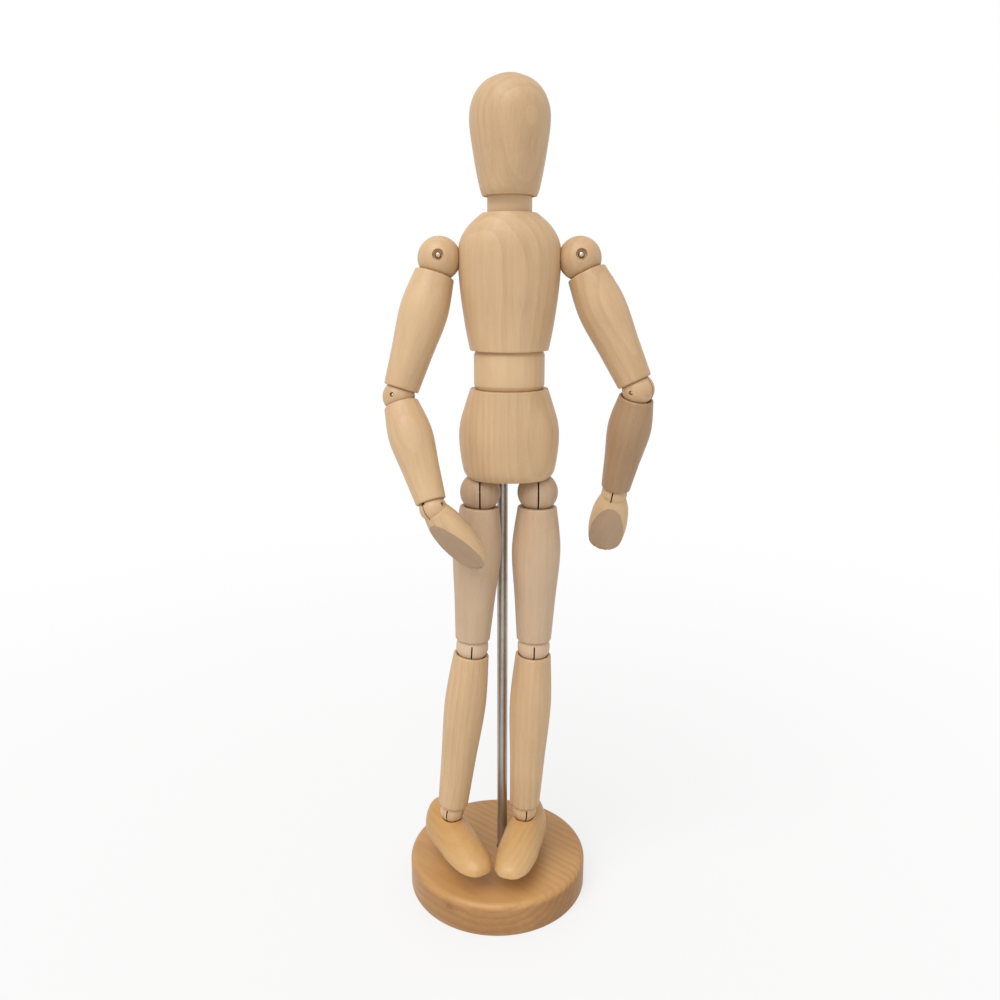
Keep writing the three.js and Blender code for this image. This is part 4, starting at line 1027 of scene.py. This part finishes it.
# Hands and feet
def hand_blank(sign):
    """A ball end and a rounded paddle sawn flat on the palm."""
    paddle = carve_block("paddle", spline([
        *rings(HAND_RINGS, -HAND_LENGTH, HAND_WIDTH, HAND_THICKNESS),
        *rings([WRIST_RING], WRIST_BALL / 2, WRIST_BALL, WRIST_BALL),
    ], RING_STEPS), BODY_WOOD)
    # The palm's flat face takes the darker palm wood, partly painted shade.
    paddle.data.materials.append(SAWN_AND_SHADED_PALM_WOOD)
    paddle.active_material_index = 1
    slope = math.radians(PALM_SLOPE)
    saw_flat(paddle, (0, -PALM_FROM_AXIS, -HAND_LENGTH), (0, -math.cos(slope), -math.sin(slope)))
    gather_tip(paddle, (0, 0, -HAND_LENGTH), HAND_SORTED_FROM)
    soften(paddle, "palm")
    paddle.data.transform(Matrix.Rotation(sign * (math.pi / 2 + math.radians(PALM_TURN)), 4, "Z"))
    combine(paddle, "UNION", [ball_tool(WRIST_BALL, (0, 0, 0), BODY_WOOD)])
    reach = WRIST_BALL / 2 + CUT_OVERRUN
    slot = SLOT_WIDTHS["wrist"] / 2
    pocket = POCKET_SHARE * WRIST_BALL / 2
    half = POCKET_WIDTH / 2
    combine(paddle, "DIFFERENCE", [
        saw((-reach, -slot, -SLOT_OVER_PIN), (reach, slot, reach)),
        saw((-pocket, -half, -SLOT_OVER_PIN), (pocket, half, reach)),
        drill(PIN_DIAMETER + CLEARANCE, (0, -reach, 0), (0, reach, 0)),
    ])
    return smooth(paddle)


def foot_blank():
    """An egg form sawn flat at the sole, cupped for the ankle; its toe points to -Y."""
    instep = ANKLE_OVER_SOLE - ANKLE_BAND / 2
    egg = carve_block("foot_blank", spline([
        *rings(HEEL_RINGS, -FOOT_HEEL, FOOT_WIDTH, instep),
        *rings(TOE_RINGS, FOOT_TOE, FOOT_WIDTH, instep),
    ], RING_STEPS), FOOT_WOOD)
    to_sole = Matrix.Translation((0, 0, -ANKLE_OVER_SOLE * MM))
    egg.data.transform(to_sole @ Matrix.Rotation(math.pi / 2, 4, "X"))
    saw_flat(egg, (0, 0, -ANKLE_OVER_SOLE), (0, 0, -1))
    for end in (-FOOT_TOE, FOOT_HEEL):
        gather_tip(egg, (0, end, -ANKLE_OVER_SOLE))
    return soften(combine(egg, "DIFFERENCE", [
        cup(ANKLE_BALL, (0, 0, 0), FOOT_WOOD),
        drill(FOOT_SCREW_HOLE, (0, 0, -ANKLE_BALL / 2), (0, 0, -FOOT_SCREW_END)),
    ]), "foot")


def toe_tone(spot, normal):
    """The toe is paler than the heel."""
    share = min(1.0, max(0.0, (FOOT_HEEL - spot.y) / (FOOT_HEEL + FOOT_TOE)))
    return HEEL_TONE + (TOE_TONE - HEEL_TONE) * share ** 2


# The stand and its rod
rod_at = joint_point("figure_swivel") / MM
place(
    stand_blank(rod_at.x, rod_at.y), "base", "stand", "stand_wood",
    tone_and_shade=stand_tone_light_and_shade, along="X", turned_deg=STAND_GRAIN_TURN, pith_deg=STAND_PITH,
)
low, high = (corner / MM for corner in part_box("support_rod"))
rod_foot = Matrix.Translation((rod_at.x * MM, rod_at.y * MM, low.z * MM))
place(rod_blank(high.z - low.z), "support_rod", "stand", "rod_steel", rod_foot)

# The trunk, from the hips up
hips_middle = (joint_point("left_hip_turn") + joint_point("right_hip_turn")) / 2
pelvis_foot = hips_middle + Vector((0, 0, HIP_BELOW_PELVIS * MM))
waist_middle = joint_point("waist_bend")
chest_foot = waist_middle + Vector((0, 0, WAIST_BAND / 2 * MM))
shoulder_at = (joint_point("left_shoulder_swing") - chest_foot) / MM
neck_middle = joint_point("neck_nod")
head_foot = neck_middle + Vector((0, 0, NECK_BAND / 2 * MM))
rod_in_pelvis = rod_at - pelvis_foot / MM
TRUNK = {
    "pelvis": (pelvis_block(rod_in_pelvis.x, rod_in_pelvis.y), pelvis_foot),
    "waist": (banded_ball("waist_ball", WAIST_BALL, WAIST_DIAMETER), waist_middle),
    "chest": (chest_block(shoulder_at.x, shoulder_at.z), chest_foot),
    "neck": (banded_ball("neck_ball", NECK_BALL, NECK_DIAMETER), neck_middle),
    "head": (head_block(), head_foot),
}
for name, (block, foot) in TRUNK.items():
    place(block, name, name, "body_wood", Matrix.Translation(foot), TONES_AND_PAINTED_LIGHT[name])

# Patterns that both sides copy
BALLS = {"shoulder": (shoulder_ball(), pin_rod("shoulder_rivet", SHOULDER_PIN, SHOULDER_BALL))}
for name, size in {"elbow": ELBOW_BALL, "hip": HIP_BALL, "knee": KNEE_BALL, "ankle": ANKLE_BALL}.items():
    BALLS[name] = (hooked_ball(name, size), pin_rod(name + "_rivet", PIN_DIAMETER, size))
WRIST_RIVET = pin_rod("wrist_rivet", PIN_DIAMETER, WRIST_BALL)
FOOT = foot_blank()


# Arms and legs
def place_limbs(side):
    """Hangs the turned limbs between their joints."""
    for name, (top_joint, end_joint, pin_along) in LIMB_ENDS.items():
        node = f"{side}_{name}"
        start = joint_point(f"{side}_{top_joint}")
        way = start - joint_point(f"{side}_{end_joint}")
        seat = seat_matrix(start, way, joint_axis(f"{side}_{top_joint}"), pin_along)
        blank = limb(name, way.length / MM, LIMB_WOODS.get(node, BODY_WOOD))
        place(blank, node, node, "body_wood", seat, TONES_AND_PAINTED_LIGHT[node])


def place_ball(side, name, seat):
    """Sets a slotted ball and its pin on a seat."""
    ball, rivet = BALLS[name]
    body = f"{side}_{name}"
    tone_and_shade = TONES_AND_PAINTED_LIGHT.get(body + "_ball", BALL_TONE)
    place(copy_of(ball), body + "_ball", body, "body_wood", seat, tone_and_shade)
    place(copy_of(rivet), body + "_pin", body, "pin_steel", seat)


def shoulder_seat(side):
    """The shoulder's pin runs from front to back, square to the X axis that its ball swings on."""
    pin = joint_axis(f"{side}_shoulder_lift")
    up = Vector((1, 0, 0)).cross(pin)
    return seat_matrix(joint_point(f"{side}_shoulder_swing"), up if up.z > 0 else -up, pin, "X")


def ball_seat(side, turn_joint, bend_joint, above):
    """A ball stands in line with the limb above it."""
    centre = joint_point(f"{side}_{turn_joint}")
    up = joint_point(f"{side}_{above}") - centre if above else Vector((0, 0, 1))
    pin = joint_axis(f"{side}_{bend_joint}")
    return seat_matrix(centre, up, pin if pin.x > 0 else -pin, "X")


def place_hand(side, sign):
    """Hangs the hand from its wrist, bent as in the photograph."""
    wrist = joint_point(f"{side}_wrist_turn")
    bend_axis = joint_axis(f"{side}_wrist_bend")
    forearm_up = joint_point(f"{side}_elbow_bend") - wrist
    straight = seat_matrix(wrist, forearm_up, sign * bend_axis, "Y")
    turned_by = Matrix.Rotation(math.radians(WRIST_BEND[side]), 4, bend_axis)
    seat = Matrix.Translation(wrist) @ turned_by @ Matrix.Translation(-wrist) @ straight
    place(hand_blank(sign), f"{side}_hand", f"{side}_hand", "body_wood", seat, TONES_AND_PAINTED_LIGHT[f"{side}_hand"])
    rivet_seat = seat_matrix(wrist, forearm_up, bend_axis, "X")
    place(copy_of(WRIST_RIVET), f"{side}_wrist_pin", f"{side}_wrist", "pin_steel", rivet_seat)


def place_foot(side, sign):
    """Hangs the foot from its ankle, with its toe turned in."""
    ankle = Matrix.Translation(joint_point(f"{side}_ankle_turn"))
    seat = ankle @ Matrix.Rotation(-sign * math.radians(TOES_INWARD[side]), 4, "Z")
    place(copy_of(FOOT), f"{side}_foot", f"{side}_foot", "foot_wood", seat, toe_tone, along="Y")


for side, sign in SIDES.items():
    place_limbs(side)
    place_ball(side, "shoulder", shoulder_seat(side))
    for name, joints in BALL_JOINTS.items():
        place_ball(side, name, ball_seat(side, *joints))
    place_hand(side, sign)
    place_foot(side, sign)

for pattern in [*(piece for pair in BALLS.values() for piece in pair), WRIST_RIVET, FOOT]:
    bpy.data.objects.remove(pattern)

# Springs, eyes and anchor pins keep their own shape
for name, node in frame["nodes"].items():
    if node.hide_render:
        continue
    node.data.materials.clear()
    node.data.materials.append(SPRING_STEEL if name.endswith(("_spring", "_eye")) else PIN_STEEL)


# Floor, light and camera
def seen_directly(tree):
    """1 for rays from the camera or a mirror-like piece, and 0 for rays that light the object."""
    path = tree.nodes.new("ShaderNodeLightPath")
    share = path.outputs["Is Camera Ray"]
    for kind in ("Is Glossy Ray", "Is Transmission Ray"):
        either = tree.nodes.new("ShaderNodeMath")
        either.operation = "MAXIMUM"
        tree.links.new(share, either.inputs[0])
        tree.links.new(path.outputs[kind], either.inputs[1])
        share = either.outputs[0]
    return share


def paper_finish(name, grey, white):
    """Paper with a faint tooth. It keeps the figure's shadow and fades to plain white far off."""
    paper = Finish(name)
    spot = paper.object_spot()
    tooth = paper.noise(spot, PAPER_NOISE)
    relief = paper.bump(tooth, *PAPER_BUMP)
    paper.set(Base_Color=paper.mix(tooth, grey, white), Roughness=PAPER_ROUGHNESS, Normal=relief)
    away = paper.node("ShaderNodeVectorMath", {"operation": "LENGTH"}, (spot,), "Value")
    fade = PAPER_GLOW + (1 - PAPER_GLOW) * away.rise(*PAPER_FADE)
    share = fade * Field(paper, seen_directly(paper.tree))
    glow = paper.node("ShaderNodeEmission", {}, {"Color": (1, 1, 1, 1), "Strength": 1.0})
    sheet = Field(paper, paper.surface.outputs[0])
    mixed = paper.node("ShaderNodeMixShader", {}, (share, sheet, glow))
    paper.plug(paper.tree.nodes["Material Output"].inputs["Surface"], mixed)
    return paper.material


bpy.ops.mesh.primitive_plane_add(size=PAPER_SIZE)
floor = new_blank(
    "paper_floor", paper_finish("white_paper", grey=(0.76, 0.76, 0.755, 1), white=(0.8, 0.8, 0.795, 1)),
)

world = bpy.data.worlds.new("studio")
bpy.context.scene.world = world
world.use_nodes = True
sky = world.node_tree
level = sky.nodes.new("ShaderNodeMapRange")
level.inputs["To Min"].default_value = SKY_LEVEL
level.inputs["To Max"].default_value = 1.0
sky.links.new(seen_directly(sky), level.inputs["Value"])
sky.nodes["Background"].inputs["Color"].default_value = (1, 1, 1, 1)
sky.links.new(level.outputs["Result"], sky.nodes["Background"].inputs["Strength"])

light = bpy.data.lights.new("window", "SUN")
light.energy = WINDOW_LEVEL
light.angle = math.radians(WINDOW_SPREAD)
window = bpy.data.objects.new("window", light)
bpy.context.scene.collection.objects.link(window)
window.rotation_euler = (-Vector(WINDOW_FROM)).to_track_quat("-Z", "Y").to_euler()

view = bpy.data.cameras.new("photo_camera")
view.lens = LENS_MM
view.sensor_width = SENSOR_MM
camera = bpy.data.objects.new("photo_camera", view)
bpy.context.scene.collection.objects.link(camera)
camera.location = Vector(CAMERA_PLACE) * MM
camera.rotation_euler = (math.radians(90 - CAMERA_PITCH), 0, 0)
bpy.context.scene.camera = camera
bpy.context.scene.view_settings.view_transform = "Standard"
